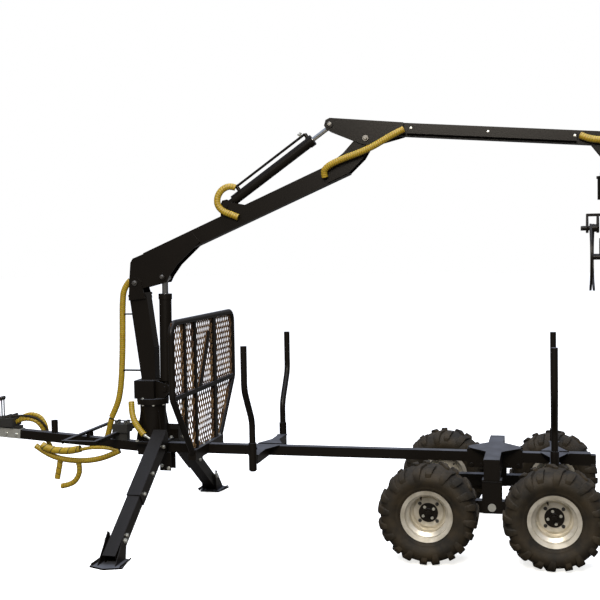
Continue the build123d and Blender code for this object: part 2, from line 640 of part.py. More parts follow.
# Slewing column: a shaft in the bearing tube, a turning flange and the mast foot
column = rod_between((COLUMN_X, 0, beam_top_z + 30), (COLUMN_X, 0, BASE_TOP_Z), SHAFT_R)
flange_bottom = BASE_TOP_Z + SEAT_GAP
column += rod_between((COLUMN_X, 0, BASE_TOP_Z - 1), (COLUMN_X, 0, flange_bottom), SHAFT_R)
column += rod_between((COLUMN_X, 0, flange_bottom), (COLUMN_X, 0, flange_bottom + TURN_FLANGE), TURN_FLANGE_R)
column_floor = flange_bottom + TURN_FLANGE
slot_half = EYE_WIDTH / 2 + CLEVIS_SIDE_GAP
ear_out = slot_half + EAR
mast_rear_x = LIFT_BASE_X + 60
column += block(mast_rear_x, COLUMN_X + COLUMN_HALF_X, -COLUMN_HALF_Y, COLUMN_HALF_Y, column_floor,
                COLUMN_TOP_Z)
for side in (-1, 1):
    y_a = side * slot_half
    y_b = side * ear_out
    ear = side_plate([(mast_rear_x + 6, column_floor), (LIFT_BASE_X + 4, column_floor),
                      (LIFT_BASE_X - 34, LIFT_BASE_Z - 14), (LIFT_BASE_X - 32, LIFT_BASE_Z + 20),
                      (LIFT_BASE_X - 6, LIFT_BASE_Z + 34), (mast_rear_x + 6, COLUMN_TOP_Z)],
                     min(y_a, y_b), max(y_a, y_b))
    ear -= cross_rod(LIFT_BASE_X, LIFT_BASE_Z, -200, 200, PIN_R + PIN_GAP)
    column += ear
parts["slew_column"] = column

# Mast: a leaning box tube with two ears at its head for the boom pin
lean = math.radians(MAST_LEAN)
mast_foot_x = BOOM_HINGE_X - math.tan(lean) * (BOOM_HINGE_Z - COLUMN_TOP_Z)
mast_top_z = BOOM_HINGE_Z - 70
mast_top_x = BOOM_HINGE_X - math.tan(lean) * 70
mast = beam_between((mast_foot_x - 4, 0, COLUMN_TOP_Z - 30), (mast_top_x, 0, mast_top_z),
                    MAST_WIDTH_Y, MAST_WIDTH_X, MAST_WALL)
mast -= block(1500, 3000, -200, 200, 0, COLUMN_TOP_Z)
mast_cut_z = COLUMN_TOP_Z + 225
mast -= block(1500, mast_rear_x, -200, 200, COLUMN_TOP_Z - 1, mast_cut_z)
mast += block(mast_rear_x, mast_rear_x + MAST_WALL, -MAST_WIDTH_Y / 2, MAST_WIDTH_Y / 2, COLUMN_TOP_Z,
              mast_cut_z - 6)
mast_ear_in = BOOM_WIDTH / 2 + BOOM_PLATE + EAR_GAP
head = beam_between((mast_top_x - math.tan(lean) * 14, 0, mast_top_z - 14), (mast_top_x, 0, mast_top_z),
                    2 * (mast_ear_in + EAR), MAST_WIDTH_X)
for side in (-1, 1):
    y_a = side * mast_ear_in
    y_b = side * (mast_ear_in + EAR)
    ear = side_plate([(mast_top_x - 60, mast_top_z - 30), (mast_top_x + 56, mast_top_z - 44),
                      (BOOM_HINGE_X + 38, BOOM_HINGE_Z + 8), (BOOM_HINGE_X + 14, BOOM_HINGE_Z + 36),
                      (BOOM_HINGE_X - 14, BOOM_HINGE_Z + 36), (BOOM_HINGE_X - 38, BOOM_HINGE_Z + 8)],
                     min(y_a, y_b), max(y_a, y_b))
    head += ear
mast += head
mast -= cross_rod(BOOM_HINGE_X, BOOM_HINGE_Z, -300, 300, PIN_R + PIN_GAP)
for z, hose_x in ((1000, 2420), (1370, 2404)):
    face_x = mast_foot_x + math.tan(lean) * (z - COLUMN_TOP_Z) + MAST_WIDTH_X / 2
    mast += block(face_x - 2, hose_x - COLUMN_HOSE_R - 0.8, -18, 18, z - 4, z + 4)
parts["mast"] = mast
parts["boom_pin"] = cross_rod(BOOM_HINGE_X, BOOM_HINGE_Z, -mast_ear_in - EAR - 10, mast_ear_in + EAR + 10,
                              PIN_R)

# Main boom: a box tube between two foot plates and two elbow plates
slope = math.radians(BOOM_SLOPE)


def boom_top(x):
    return BOOM_TOP_Z + math.tan(slope) * (BOOM_TOP_X - x)


def boom_point(x, depth):
    """A point under the boom's top edge at x, measured square to it."""
    return (x + math.sin(slope) * -depth, boom_top(x) - math.cos(slope) * depth)


start = boom_point(BOOM_TUBE_START_X, BOOM_DEPTH / 2)
end = boom_point(BOOM_TUBE_END_X, BOOM_DEPTH / 2)
boom_tube = beam_between((start[0], 0, start[1]), (end[0], 0, end[1]), BOOM_WIDTH, BOOM_DEPTH, BOOM_WALL)
parts["boom_tube"] = boom_tube

foot_outline = [(2316, 1706), (2300, 1733), boom_point(2060, 12), boom_point(1900, 12),
                boom_point(1875, BOOM_DEPTH - 14), (1996, 1690), (LIFT_TOP_X - 46, LIFT_TOP_Z + 4),
                (LIFT_TOP_X - 26, LIFT_TOP_Z - 36), (LIFT_TOP_X + 20, LIFT_TOP_Z - 42),
                (BOOM_HINGE_X - 26, BOOM_HINGE_Z - 40), (BOOM_HINGE_X + 26, BOOM_HINGE_Z - 40),
                (BOOM_HINGE_X + 46, BOOM_HINGE_Z)]
feet = []
for side in (-1, 1):
    y_a = side * BOOM_WIDTH / 2
    y_b = side * (BOOM_WIDTH / 2 + BOOM_PLATE)
    foot_plate = side_plate(foot_outline, min(y_a, y_b), max(y_a, y_b))
    foot_plate -= cross_rod(BOOM_HINGE_X, BOOM_HINGE_Z, -300, 300, PIN_R + PIN_GAP)
    head_y = y_b + side * 8
    foot_plate += cross_rod(LIFT_TOP_X, LIFT_TOP_Z, min(y_b, head_y), max(y_b, head_y), 24)
    feet.append(foot_plate)
parts["boom_foot"] = feet

elbow_outline = [boom_point(1010, 6), (900, 2360), (ELBOW_X + 30, ELBOW_Z + 38), (ELBOW_X - 12, ELBOW_Z + 44),
                 (ELBOW_X - 42, ELBOW_Z + 14), (ELBOW_X - 40, ELBOW_Z - 20), (ELBOW_X + 20, ELBOW_Z - 120),
                 (ELBOW_X + 110, ELBOW_Z - 205), boom_point(1040, BOOM_DEPTH - 6)]
elbows = []
for side in (-1, 1):
    y_a = side * BOOM_WIDTH / 2
    y_b = side * (BOOM_WIDTH / 2 + BOOM_PLATE)
    elbow = side_plate(elbow_outline, min(y_a, y_b), max(y_a, y_b))
    elbow -= cross_rod(ELBOW_X, ELBOW_Z, -300, 300, PIN_R + PIN_GAP)
    elbows.append(elbow)
parts["boom_elbow"] = elbows

# Clevis for the arm cylinder on top of the boom
clevis = []
clevis_in = EYE_WIDTH / 2 + CLEVIS_SIDE_GAP
for side in (-1, 1):
    y_a = side * clevis_in
    y_b = side * (clevis_in + BOOM_PLATE)
    foot_a = boom_point(1700, 0)
    foot_b = boom_point(1540, 0)
    plate_outline = [foot_a, (ARM_CYL_BASE_X + 34, ARM_CYL_BASE_Z + 6),
                     (ARM_CYL_BASE_X + 22, ARM_CYL_BASE_Z + 30),
                     (ARM_CYL_BASE_X - 8, ARM_CYL_BASE_Z + 36), (ARM_CYL_BASE_X - 34, ARM_CYL_BASE_Z + 18),
                     foot_b]
    lug = side_plate(plate_outline, min(y_a, y_b), max(y_a, y_b))
    lug -= cross_rod(ARM_CYL_BASE_X, ARM_CYL_BASE_Z, -100, 100, PIN_R + PIN_GAP)
    clevis.append(lug)
parts["cylinder_clevis"] = clevis

# Arm: a box tube held between two triangular crank plates
arm_slope = math.radians(ARM_SLOPE)


def arm_top(x):
    return ARM_TOP_Z + math.tan(arm_slope) * (ARM_TOP_X - x)


def arm_point(x, depth):
    return (x + math.sin(arm_slope) * -depth, arm_top(x) - math.cos(arm_slope) * depth)


start = arm_point(ARM_TUBE_START_X, ARM_DEPTH / 2)
end = arm_point(ARM_TUBE_END_X, ARM_DEPTH / 2)
arm_tube = beam_between((start[0], 0, start[1]), (end[0], 0, end[1]), ARM_WIDTH, ARM_DEPTH, ARM_WALL)
tip_ear_in = EYE_WIDTH / 2 + 6
for side in (-1, 1):
    y_a = side * tip_ear_in
    y_b = side * (tip_ear_in + BOOM_PLATE)
    ear = side_plate([arm_point(-575, ARM_DEPTH - 2), (TIP_PIN_X + 32, TIP_PIN_Z - 12),
                      (TIP_PIN_X, TIP_PIN_Z - 32),
                      (TIP_PIN_X - 28, TIP_PIN_Z - 16), arm_point(-650, ARM_DEPTH - 2)], min(y_a, y_b),
                      max(y_a, y_b))
    ear -= cross_rod(TIP_PIN_X, TIP_PIN_Z, -200, 200, PIN_R + PIN_GAP)
    arm_tube += ear
parts["arm_tube"] = arm_tube

crank_in = BOOM_WIDTH / 2 + BOOM_PLATE + EAR_GAP
crank = []
crank_outline = [(LUG_X + 36, LUG_Z - 6), (LUG_X + 26, LUG_Z + 28), (LUG_X, LUG_Z + 40),
                 arm_point(CRANK_END_X, 0), arm_point(CRANK_END_X, ARM_DEPTH), (ELBOW_X - 60, ELBOW_Z - 34),
                 (ELBOW_X - 20, ELBOW_Z - 42), (ELBOW_X + 24, ELBOW_Z - 34), (LUG_X + 20, LUG_Z - 34)]
for side in (-1, 1):
    y_a = side * crank_in
    y_b = side * (crank_in + ARM_PLATE)
    crank_plate = side_plate(crank_outline, min(y_a, y_b), max(y_a, y_b))
    crank_plate -= cross_rod(ELBOW_X, ELBOW_Z, -300, 300, PIN_R + PIN_GAP)
    spacer = side_plate([arm_point(ARM_TUBE_START_X - 10, 10), arm_point(CRANK_END_X, 10),
                         arm_point(CRANK_END_X, ARM_DEPTH - 10),
                         arm_point(ARM_TUBE_START_X - 10, ARM_DEPTH - 10)],
                        min(side * ARM_WIDTH / 2, y_a), max(side * ARM_WIDTH / 2, y_a))
    boss_y = side * (EYE_WIDTH / 2 + CLEVIS_SIDE_GAP)
    boss = cross_rod(LUG_X, LUG_Z, min(boss_y, y_a), max(boss_y, y_a), 24)
    head_y = y_b + side * 8
    head_disc = cross_rod(LUG_X, LUG_Z, min(y_b, head_y), max(y_b, head_y), 22)
    crank.append(crank_plate + spacer + boss + head_disc)
parts["arm_crank"] = crank
parts["elbow_pin"] = cross_rod(ELBOW_X, ELBOW_Z, -crank_in - ARM_PLATE - 10, crank_in + ARM_PLATE + 10, PIN_R)

# Hose cover: a shallow channel bolted along the outside of the arm
cover_y = ARM_WIDTH / 2
front = arm_point(COVER_FRONT_X, ARM_DEPTH / 2)
rear = arm_point(COVER_REAR_X, ARM_DEPTH / 2)
y_mid = cover_y + COVER_DEPTH / 2
cover = beam_between((front[0], y_mid, front[1]), (rear[0], y_mid, rear[1]), COVER_DEPTH, COVER_HEIGHT)
cavity = beam_between((front[0] + 20, y_mid - COVER_WALL, front[1]),
                      (rear[0] - 20, y_mid - COVER_WALL, rear[1] - 2),
                      COVER_DEPTH, COVER_HEIGHT - 2 * COVER_WALL)
parts["arm_hose_cover"] = cover - cavity


# Hydraulic cylinders: a barrel with an eye at its base, and a rod with an eye and its short pin
def make_cylinder(base, tip, barrel_r, barrel_length, rod_r, rod_length, pin_half, tip_width):
    """The base pin is welded in the base eye; the rod's eye holds a pin no wider than itself."""
    length = (Vector(*tip) - Vector(*base)).length

    def at(distance):
        return tuple(along(base, tip, distance))

    body_start = EYE_R + 20
    barrel = rod_between(at(body_start), at(barrel_length), barrel_r)
    barrel += rod_between(at(EYE_R - 8), at(body_start), EYE_WIDTH / 2 - 1)
    barrel += cross_rod(base[0], base[2], -EYE_WIDTH / 2, EYE_WIDTH / 2, EYE_R)
    barrel += cross_rod(base[0], base[2], -pin_half, pin_half, PIN_R)
    barrel += rod_between(at(barrel_length - 36), at(barrel_length), barrel_r + 4)
    barrel -= rod_between(at(body_start + 16), at(barrel_length - 40), barrel_r - CYLINDER_WALL)
    barrel -= rod_between(at(barrel_length - 60), at(barrel_length + 5), rod_r + ROD_SLIDE_GAP)
    rod = rod_between(at(length - rod_length), at(length - EYE_R + 6), rod_r)
    rod += cross_rod(tip[0], tip[2], -tip_width / 2, tip_width / 2, EYE_R)
    return barrel, rod


lift_base = (LIFT_BASE_X, 0, LIFT_BASE_Z)
lift_tip = (LIFT_TOP_X, 0, LIFT_TOP_Z)
lift_tip_width = BOOM_WIDTH - 2 * CLEVIS_SIDE_GAP
parts["lift_barrel"], parts["lift_rod"] = make_cylinder(lift_base, lift_tip, LIFT_BARREL_R,
                                                        LIFT_BARREL_LENGTH,
                                                        LIFT_ROD_R, 560, ear_out + 8, lift_tip_width)
arm_base = (ARM_CYL_BASE_X, 0, ARM_CYL_BASE_Z)
arm_tip = (LUG_X, 0, LUG_Z)
arm_barrel, parts["arm_rod"] = make_cylinder(arm_base, arm_tip, ARM_BARREL_R, ARM_BARREL_LENGTH,
                                             ARM_ROD_R, 620, clevis_in + BOOM_PLATE + 8, EYE_WIDTH)

# Steel pipe that lies over the arm cylinder and feeds its rod end
axis = (Vector(*arm_tip) - Vector(*arm_base)).normalized()
above = Vector(-axis.Z, 0, axis.X)
if above.Z < 0:
    above = above * -1
pipe_ends = []
for distance in (PIPE_START, ARM_BARREL_LENGTH - 22):
    foot_point = Vector(*arm_base) + axis * distance
    top_point = foot_point + above * PIPE_HEIGHT
    arm_barrel += rod_between(tuple(foot_point + above * (ARM_BARREL_R - 4)), tuple(top_point), PIPE_PORT_R)
    pipe_ends.append(tuple(top_point))
arm_barrel += rod_between(pipe_ends[0], pipe_ends[1], PIPE_R)
parts["arm_barrel"] = arm_barrel

# Grapple: a link on the arm tip, a rotator, a head and two jaws that open across the trailer
link_gap = tip_ear_in - 3
link_low_z = ROTATOR_TOP_Z + 20
link = cross_rod(TIP_PIN_X, TIP_PIN_Z, -link_gap, link_gap, 26)
link += cross_rod(TIP_PIN_X, TIP_PIN_Z, -tip_ear_in - BOOM_PLATE - 8, tip_ear_in + BOOM_PLATE + 8, PIN_R)
link += block(TIP_PIN_X - 16, TIP_PIN_X + 16, -link_gap + 2, link_gap - 2, link_low_z, TIP_PIN_Z)
link += rod_between((TIP_PIN_X, 0, ROTATOR_TOP_Z), (TIP_PIN_X, 0, link_low_z), 34)
link += rod_between((TIP_PIN_X, 0, ROTATOR_TOP_Z), (TIP_PIN_X, 0, ROTATOR_TOP_Z - 14), ROTATOR_R + 6)
link += rod_between((TIP_PIN_X, 0, ROTATOR_TOP_Z - 14), (TIP_PIN_X, 0, ROTATOR_BOTTOM_Z), ROTATOR_R)
parts["rotator"] = link

rotor_top_z = ROTATOR_BOTTOM_Z - SEAT_GAP
head_x = TIP_PIN_X
neck_r = 26
rotor = rod_between((head_x, 0, rotor_top_z - 16), (head_x, 0, rotor_top_z), ROTATOR_R)
rotor += rod_between((head_x, 0, HEAD_TOP_Z), (head_x, 0, rotor_top_z - 16), neck_r)
rotor += block(head_x - HEAD_HALF_X, head_x + HEAD_HALF_X, -HEAD_HALF_Y, HEAD_HALF_Y, HEAD_TOP_Z - 14,
               HEAD_TOP_Z)
cheek_outline = [(-HEAD_HALF_Y, HEAD_TOP_Z - 14), (HEAD_HALF_Y, HEAD_TOP_Z - 14),
                 (JAW_PIN_Y + 30, JAW_PIN_Z + 6), (JAW_PIN_Y + 18, JAW_PIN_Z - 24),
                 (JAW_PIN_Y - 20, JAW_PIN_Z - 28), (JAW_PIN_Y - 34, JAW_PIN_Z + 4),
                 (-JAW_PIN_Y + 34, JAW_PIN_Z + 4), (-JAW_PIN_Y + 20, JAW_PIN_Z - 28),
                 (-JAW_PIN_Y - 18, JAW_PIN_Z - 24), (-JAW_PIN_Y - 30, JAW_PIN_Z + 6)]
for x_a in (-HEAD_HALF_X, -HEAD_INNER_X - HEAD_PLATE, HEAD_INNER_X, HEAD_HALF_X - HEAD_PLATE):
    rotor += cross_plate(cheek_outline, head_x + x_a, head_x + x_a + HEAD_PLATE)
for side in (-1, 1):
    for y in (-JAW_PIN_Y, JAW_PIN_Y):
        rotor += rod_between((head_x + side * HEAD_INNER_X, y, JAW_PIN_Z),
                             (head_x + side * (HEAD_HALF_X + 30), y, JAW_PIN_Z), JAW_PIN_R)
parts["grapple_head"] = rotor


def jaw_shape(spread):
    """One jaw for the +Y side: two curved plates, a pivot tube, a cross tube and two cylinder ears."""
    outer = Polyline((JAW_PIN_Y - 8, JAW_PIN_Z + 26), (JAW_PIN_Y + 22, JAW_PIN_Z + 20), (150, 1800))
    outer_arc = ThreePointArc((150, 1800), (168, 1640), (-12, JAW_TIP_Z))
    tip_line = Line((-12, JAW_TIP_Z), (6, JAW_TIP_Z + 26))
    inner_arc = ThreePointArc((6, JAW_TIP_Z + 26), (124, 1650), (108, 1780))
    back = Polyline((108, 1780), (JAW_PIN_Y - 22, JAW_PIN_Z - 14), (JAW_PIN_Y - 8, JAW_PIN_Z + 26))
    face = make_face([*outer.edges(), outer_arc, tip_line, inner_arc, *back.edges()])
    jaw = None
    for side in (-1, 1):
        x_a = side * spread - JAW_TINE / 2
        tine = extrude(Plane(origin=(head_x + x_a, 0, 0), x_dir=(0, 1, 0), z_dir=(1, 0, 0)) * face, JAW_TINE)
        jaw = tine if jaw is None else jaw + tine
        boss_x = head_x + side * (HEAD_INNER_X + HEAD_PLATE + 4)
        jaw += rod_between((boss_x, JAW_PIN_Y, JAW_PIN_Z), (head_x + side * spread, JAW_PIN_Y, JAW_PIN_Z),
                           JAW_PIN_R + 9)
    jaw += rod_between((head_x - spread, JAW_BAR_Y, JAW_BAR_Z), (head_x + spread, JAW_BAR_Y, JAW_BAR_Z),
                       JAW_BAR_R)
    jaw -= rod_between((head_x - 200, JAW_PIN_Y, JAW_PIN_Z), (head_x + 200, JAW_PIN_Y, JAW_PIN_Z),
                       JAW_PIN_R + PIN_GAP)
    for side in (-1, 1):
        x_a = head_x + side * JAW_EAR_IN
        x_b = head_x + side * (JAW_EAR_IN + 8)
        ear = cross_plate([(JAW_BAR_Y - JAW_BAR_R, JAW_BAR_Z), (JAW_BAR_Y + JAW_BAR_R, JAW_BAR_Z),
                           (JAW_EYE_Y + 20, JAW_EYE_Z + 10), (JAW_EYE_Y, JAW_EYE_Z + 22),
                           (JAW_EYE_Y - 20, JAW_EYE_Z + 4)], min(x_a, x_b), max(x_a, x_b))
        ear -= rod_between((head_x - 200, JAW_EYE_Y, JAW_EYE_Z), (head_x + 200, JAW_EYE_Y, JAW_EYE_Z),
                           JAW_EYE_PIN_R + PIN_GAP)
        jaw += ear
    return jaw


parts["jaw_left"] = jaw_shape(JAW_SPREAD_WIDE)
parts["jaw_right"] = mirror(jaw_shape(JAW_SPREAD_NARROW), Plane.XZ)

eye_half = JAW_EAR_IN - 2
barrel = rod_between((head_x, JAW_EYE_Y - 14, JAW_EYE_Z), (head_x, JAW_BARREL_END_Y, JAW_EYE_Z), JAW_BARREL_R)
barrel += rod_between((head_x - eye_half, JAW_EYE_Y, JAW_EYE_Z), (head_x + eye_half, JAW_EYE_Y, JAW_EYE_Z),
                      JAW_EYE_R)
barrel += rod_between((head_x - JAW_EAR_IN - 12, JAW_EYE_Y, JAW_EYE_Z),
                      (head_x + JAW_EAR_IN + 12, JAW_EYE_Y, JAW_EYE_Z), JAW_EYE_PIN_R)
barrel -= rod_between((head_x, JAW_EYE_Y - 34, JAW_EYE_Z), (head_x, JAW_BARREL_END_Y - 1, JAW_EYE_Z),
                      JAW_ROD_R + ROD_SLIDE_GAP)
parts["grapple_barrel"] = barrel
jaw_rod = rod_between((head_x, -JAW_EYE_Y + 14, JAW_EYE_Z), (head_x, JAW_EYE_Y - 38, JAW_EYE_Z), JAW_ROD_R)
jaw_rod += rod_between((head_x - eye_half, -JAW_EYE_Y, JAW_EYE_Z),
                       (head_x + eye_half, -JAW_EYE_Y, JAW_EYE_Z), JAW_EYE_R)
parts["grapple_rod"] = jaw_rod

# Control valve bank over the coupling, on its own foot, with a row of levers
def coupling_top(x):
    return drawbar_z(x) + BEAM / 2 + SEAT_GAP + plate


valve_floor_z = coupling_top(VALVE_FRONT_X) + 1
valve = block(VALVE_REAR_X, VALVE_FRONT_X, -VALVE_HALF_Y, VALVE_HALF_Y, valve_floor_z + 6, valve_floor_z + 62)
foot_x = VALVE_REAR_X - 30
valve += block(foot_x, VALVE_FRONT_X, -34, 34, valve_floor_z, valve_floor_z + 6)
valve += side_plate([(foot_x, coupling_top(foot_x) + SEAT_GAP),
                     (foot_x + 40, coupling_top(foot_x + 40) + SEAT_GAP),
                     (foot_x + 40, valve_floor_z), (foot_x, valve_floor_z)], -30, 30)
for y in (-45, -15, 15, 45):
    valve += rod_between((LEVER_X, y, valve_floor_z + 60), (LEVER_X, y, LEVER_TOP_Z), 4.5)
    valve += Pos(LEVER_X, y, LEVER_TOP_Z) * Sphere(13)
    valve += rod_between((VALVE_REAR_X + 24, y, valve_floor_z + 60),
                         (VALVE_REAR_X + 24, y, valve_floor_z + 84), 10)
    valve += rod_between((VALVE_REAR_X + 70, y, valve_floor_z + 60),
                         (VALVE_REAR_X + 70, y, valve_floor_z + 76), 10)
parts["valve_bank"] = valve

# Distributor block in front of the crane, with hose fittings, on a bracket over the drawbar
top_a = drawbar_z(BLOCK_REAR_X) + BEAM / 2
top_b = drawbar_z(BLOCK_FRONT_X) + BEAM / 2
manifold = side_plate([(BLOCK_REAR_X, top_a + 0.3), (BLOCK_FRONT_X, top_b + 0.3),
                       (BLOCK_FRONT_X, BLOCK_TOP_Z - 50),
                       (BLOCK_REAR_X, BLOCK_TOP_Z - 50)], -28, 28)
manifold += block(BLOCK_REAR_X - 12, BLOCK_FRONT_X + 12, -46, 46, BLOCK_TOP_Z - 54, BLOCK_TOP_Z)
for x in (BLOCK_REAR_X + 8, BLOCK_FRONT_X - 8):
    for y in (-24, 24):
        manifold += rod_between((x, y, BLOCK_TOP_Z), (x, y, BLOCK_TOP_Z + 22), 11)
parts["manifold"] = manifold

# Step frame: flat bars lying across the drawbar, with a stub tube in front of it
step_z = drawbar_z(STEP_FRONT_X) + BEAM / 2 + 0.3
step = level_plate([(STEP_FRONT_X, STEP_HALF), (STEP_REAR_X, STEP_HALF), (STEP_REAR_X, -STEP_HALF),
                    (STEP_FRONT_X, -STEP_HALF)], step_z, step_z + STEP_BAR)
step -= level_plate([(STEP_FRONT_X - STEP_EDGE, STEP_HALF - STEP_EDGE),
                     (STEP_REAR_X + STEP_EDGE, STEP_HALF - STEP_EDGE),
                     (STEP_REAR_X + STEP_EDGE, -STEP_HALF + STEP_EDGE),
                     (STEP_FRONT_X - STEP_EDGE, -STEP_HALF + STEP_EDGE)],
                    step_z - 1, step_z + STEP_BAR + 1)
step += block(STEP_FRONT_X - STEP_EDGE - 60, STEP_FRONT_X - 60, -STEP_HALF, STEP_HALF, step_z,
              step_z + STEP_BAR)
parts["step_frame"] = step
stub = rod_between((STUB_X, 0, STUB_FOOT_Z), (STUB_X, 0, STUB_TOP_Z), STUB_R, STUB_R - STUB_WALL)
stub += rod_between((STUB_X, 0, drawbar_z(STUB_X)), (STUB_X, 0, STUB_FOOT_Z), STUB_R,
                    STUB_R - STUB_WALL + STUB_RELIEF)
seat_rear = STUB_X - 40
seat_front = STUB_X + 40
stub -= side_plate([(seat_rear, drawbar_z(seat_rear) + BEAM / 2 + SEAT_GAP),
                    (seat_front, drawbar_z(seat_front) + BEAM / 2 + SEAT_GAP),
                    (seat_front, BEAM_Z), (seat_rear, BEAM_Z)], -BEAM, BEAM)
parts["stub_tube"] = stub


# Hoses in spiral guard: every route is a list of points, with bends as large as its runs allow
def bend_radii(points, least):
    radii = []
    for before, here, after in zip(points, points[1:], points[2:]):
        a = Vector(*here) - Vector(*before)
        b = Vector(*after) - Vector(*here)
        turn = math.radians(a.get_angle(b))
        largest = 0.45 * min(a.length, b.length) / math.tan(turn / 2)
        radii.append(max(least, largest))
    return radii


def free_hose(points, radius):
    return hose(points, radius, bend_radii(points, 2 * radius))


valve_route = [(VALVE_REAR_X - 4.2, 44, 650), (3150, 46, 658), (3092, 56, 684), (3032, 64, 668),
               (2990, 66, 608),
               (2962, 62, 540), (2900, 56, 492), (2790, 52, 470), (2690, 50, 462), (2600, 50, 470),
               (2520, 56, 520), (2490, 60, 560)]
under_x = 3140
under_z = drawbar_z(under_x) - BEAM / 2 - BUNDLE_HOSE_R - SEAT_GAP
bundle_route = [(under_x, 0, under_z), (3088, 2, under_z - 18), (3000, 4, 436), (2900, 8, 394),
                (2780, 8, 378),
                (2660, 4, 392), (2560, 0, 430), (2500, 0, 455), (2450, 0, 463)]
leg_route = [(BLOCK_REAR_X + 8, 24, BLOCK_TOP_Z + 22 + 1.8), (2390, 30, 730), (2378, 74, 796),
             (2346, 98, 826),
             (2308, 112, 790), (2276, 120, 722), (2250, 126, 655), (2220, 134, 600), (2190, 142, 572),
             (LEG_X + LEG_SLEEVE / 2 + 7.3, 148, 560)]
parts["hoses_drawbar"] = [free_hose(valve_route, GUARD_HOSE_R), free_hose(bundle_route, BUNDLE_HOSE_R),
                          free_hose(leg_route, LEG_HOSE_R)]
straight_tail = [(2897, 8, 375), (2896, 10, 340), (2899, 12, 300), (2901, 12, 258)]
parts["hose_tail_straight"] = free_hose(straight_tail, BUNDLE_HOSE_R)
curved_tail = [(2752, 8, 363.6), (2744, 12, 322), (2750, 14, 272), (2780, 16, 232), (2830, 16, 211),
               (2880, 16, 207)]
parts["hose_tail_curved"] = free_hose(curved_tail, THIN_HOSE_R)
column_route = [(2492, 0, 690), (2462, 0, 780), (2428, 0, 920), (2412, 0, 1080), (2406, 0, 1280),
                (2402, 0, 1460),
                (2384, 0, 1550), (2340, 0, 1590)]
parts["hose_column"] = free_hose(column_route, COLUMN_HOSE_R)
loop_route = [(1616, 34, 2196), (1672, 42, 2176), (1722, 54, 2134), (1736, 60, 2082), (1704, 62, 2036),
              (1642, 61, 2012), (1580, 57.4, 1990)]
parts["hose_boom"] = free_hose(loop_route, GUARD_HOSE_R)
elbow_route = [(1000, 67.6, 2216), (988, 72, 2252), (944, 82, 2286), (880, 87, 2310), (760, 87, 2362),
               (640, 86, 2418), (560, 85, 2462), (517, 81, 2488)]
parts["hose_elbow"] = free_hose(elbow_route, GUARD_HOSE_R)
tip_start = arm_point(COVER_REAR_X + 0.2, ARM_DEPTH / 2)
tip_route = [(tip_start[0], 56, tip_start[1]), (-548, 57, 2393), (-620, 66, 2372), (-684, 78, 2334),
             (-720, 80, 2278), (-716, 80, 2222), (-684, 78, 2188)]
parts["hose_arm_tip"] = free_hose(tip_route, GUARD_HOSE_R)

os.makedirs("parts", exist_ok=True)
everything = []
for name, made in parts.items():
    pieces = made if isinstance(made, list) else [made]
    everything.extend(pieces)
box = Compound(children=[s for p in everything for s in p.solids()]).bounding_box()
shift = Pos(-(box.min.X + box.max.X) / 2, 0, -box.min.Z)
print("shift in X", round(-(box.min.X + box.max.X) / 2, 3), "in Z", round(-box.min.Z, 3))
for name, made in parts.items():
    pieces = made if isinstance(made, list) else [made]
    solids = [shift * s for p in pieces for s in p.solids()]
    export_step(solids[0] if len(solids) == 1 else Compound(children=solids), "parts/" + name + ".step")
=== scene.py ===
import math

import bmesh
import bpy
from mathutils import Matrix, Vector


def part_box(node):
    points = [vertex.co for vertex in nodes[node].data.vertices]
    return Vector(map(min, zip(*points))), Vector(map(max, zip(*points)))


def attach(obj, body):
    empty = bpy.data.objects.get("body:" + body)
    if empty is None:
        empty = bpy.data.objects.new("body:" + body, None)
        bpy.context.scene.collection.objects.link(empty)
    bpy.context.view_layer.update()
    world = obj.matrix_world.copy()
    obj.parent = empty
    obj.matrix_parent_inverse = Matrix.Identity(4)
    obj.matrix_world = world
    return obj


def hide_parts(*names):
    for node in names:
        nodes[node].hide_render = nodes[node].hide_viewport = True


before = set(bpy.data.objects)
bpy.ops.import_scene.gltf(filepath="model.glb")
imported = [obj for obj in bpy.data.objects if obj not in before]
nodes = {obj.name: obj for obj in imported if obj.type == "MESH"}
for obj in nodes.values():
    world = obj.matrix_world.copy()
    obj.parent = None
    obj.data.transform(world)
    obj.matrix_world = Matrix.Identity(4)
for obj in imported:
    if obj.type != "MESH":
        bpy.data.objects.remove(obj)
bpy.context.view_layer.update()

# Camera: it stands about 7 m from the trailer's left side, at eye height, and looks slightly down
# and forward. Its place and turn were fitted to the wheels, beam and stakes in the photograph.
CAMERA_PLACE = Vector((-1.605, 6.290, 1.775))
CAMERA_YAW = math.radians(13.47)
CAMERA_PITCH = math.radians(2.83)
CAMERA_ROLL = math.radians(-1.02)
CAMERA_LENS = 61.7
CAMERA_SENSOR = 36.0
ahead = Vector((math.sin(CAMERA_YAW) * math.cos(CAMERA_PITCH),
                -math.cos(CAMERA_YAW) * math.cos(CAMERA_PITCH), -math.sin(CAMERA_PITCH)))
level_right = Vector((-math.cos(CAMERA_YAW), -math.sin(CAMERA_YAW), 0))
level_up = level_right.cross(ahead)
right = math.cos(CAMERA_ROLL) * level_right + math.sin(CAMERA_ROLL) * level_up
upward = math.cos(CAMERA_ROLL) * level_up - math.sin(CAMERA_ROLL) * level_right
camera_data = bpy.data.cameras.new("photo_view")
camera_data.lens = CAMERA_LENS
camera_data.sensor_width = CAMERA_SENSOR
camera_data.clip_end = 200
camera = bpy.data.objects.new("photo_view", camera_data)
bpy.context.scene.collection.objects.link(camera)
camera.matrix_world = Matrix((
    (right.x, upward.x, -ahead.x, CAMERA_PLACE.x),
    (right.y, upward.y, -ahead.y, CAMERA_PLACE.y),
    (right.z, upward.z, -ahead.z, CAMERA_PLACE.z),
    (0, 0, 0, 1)))
bpy.context.scene.camera = camera

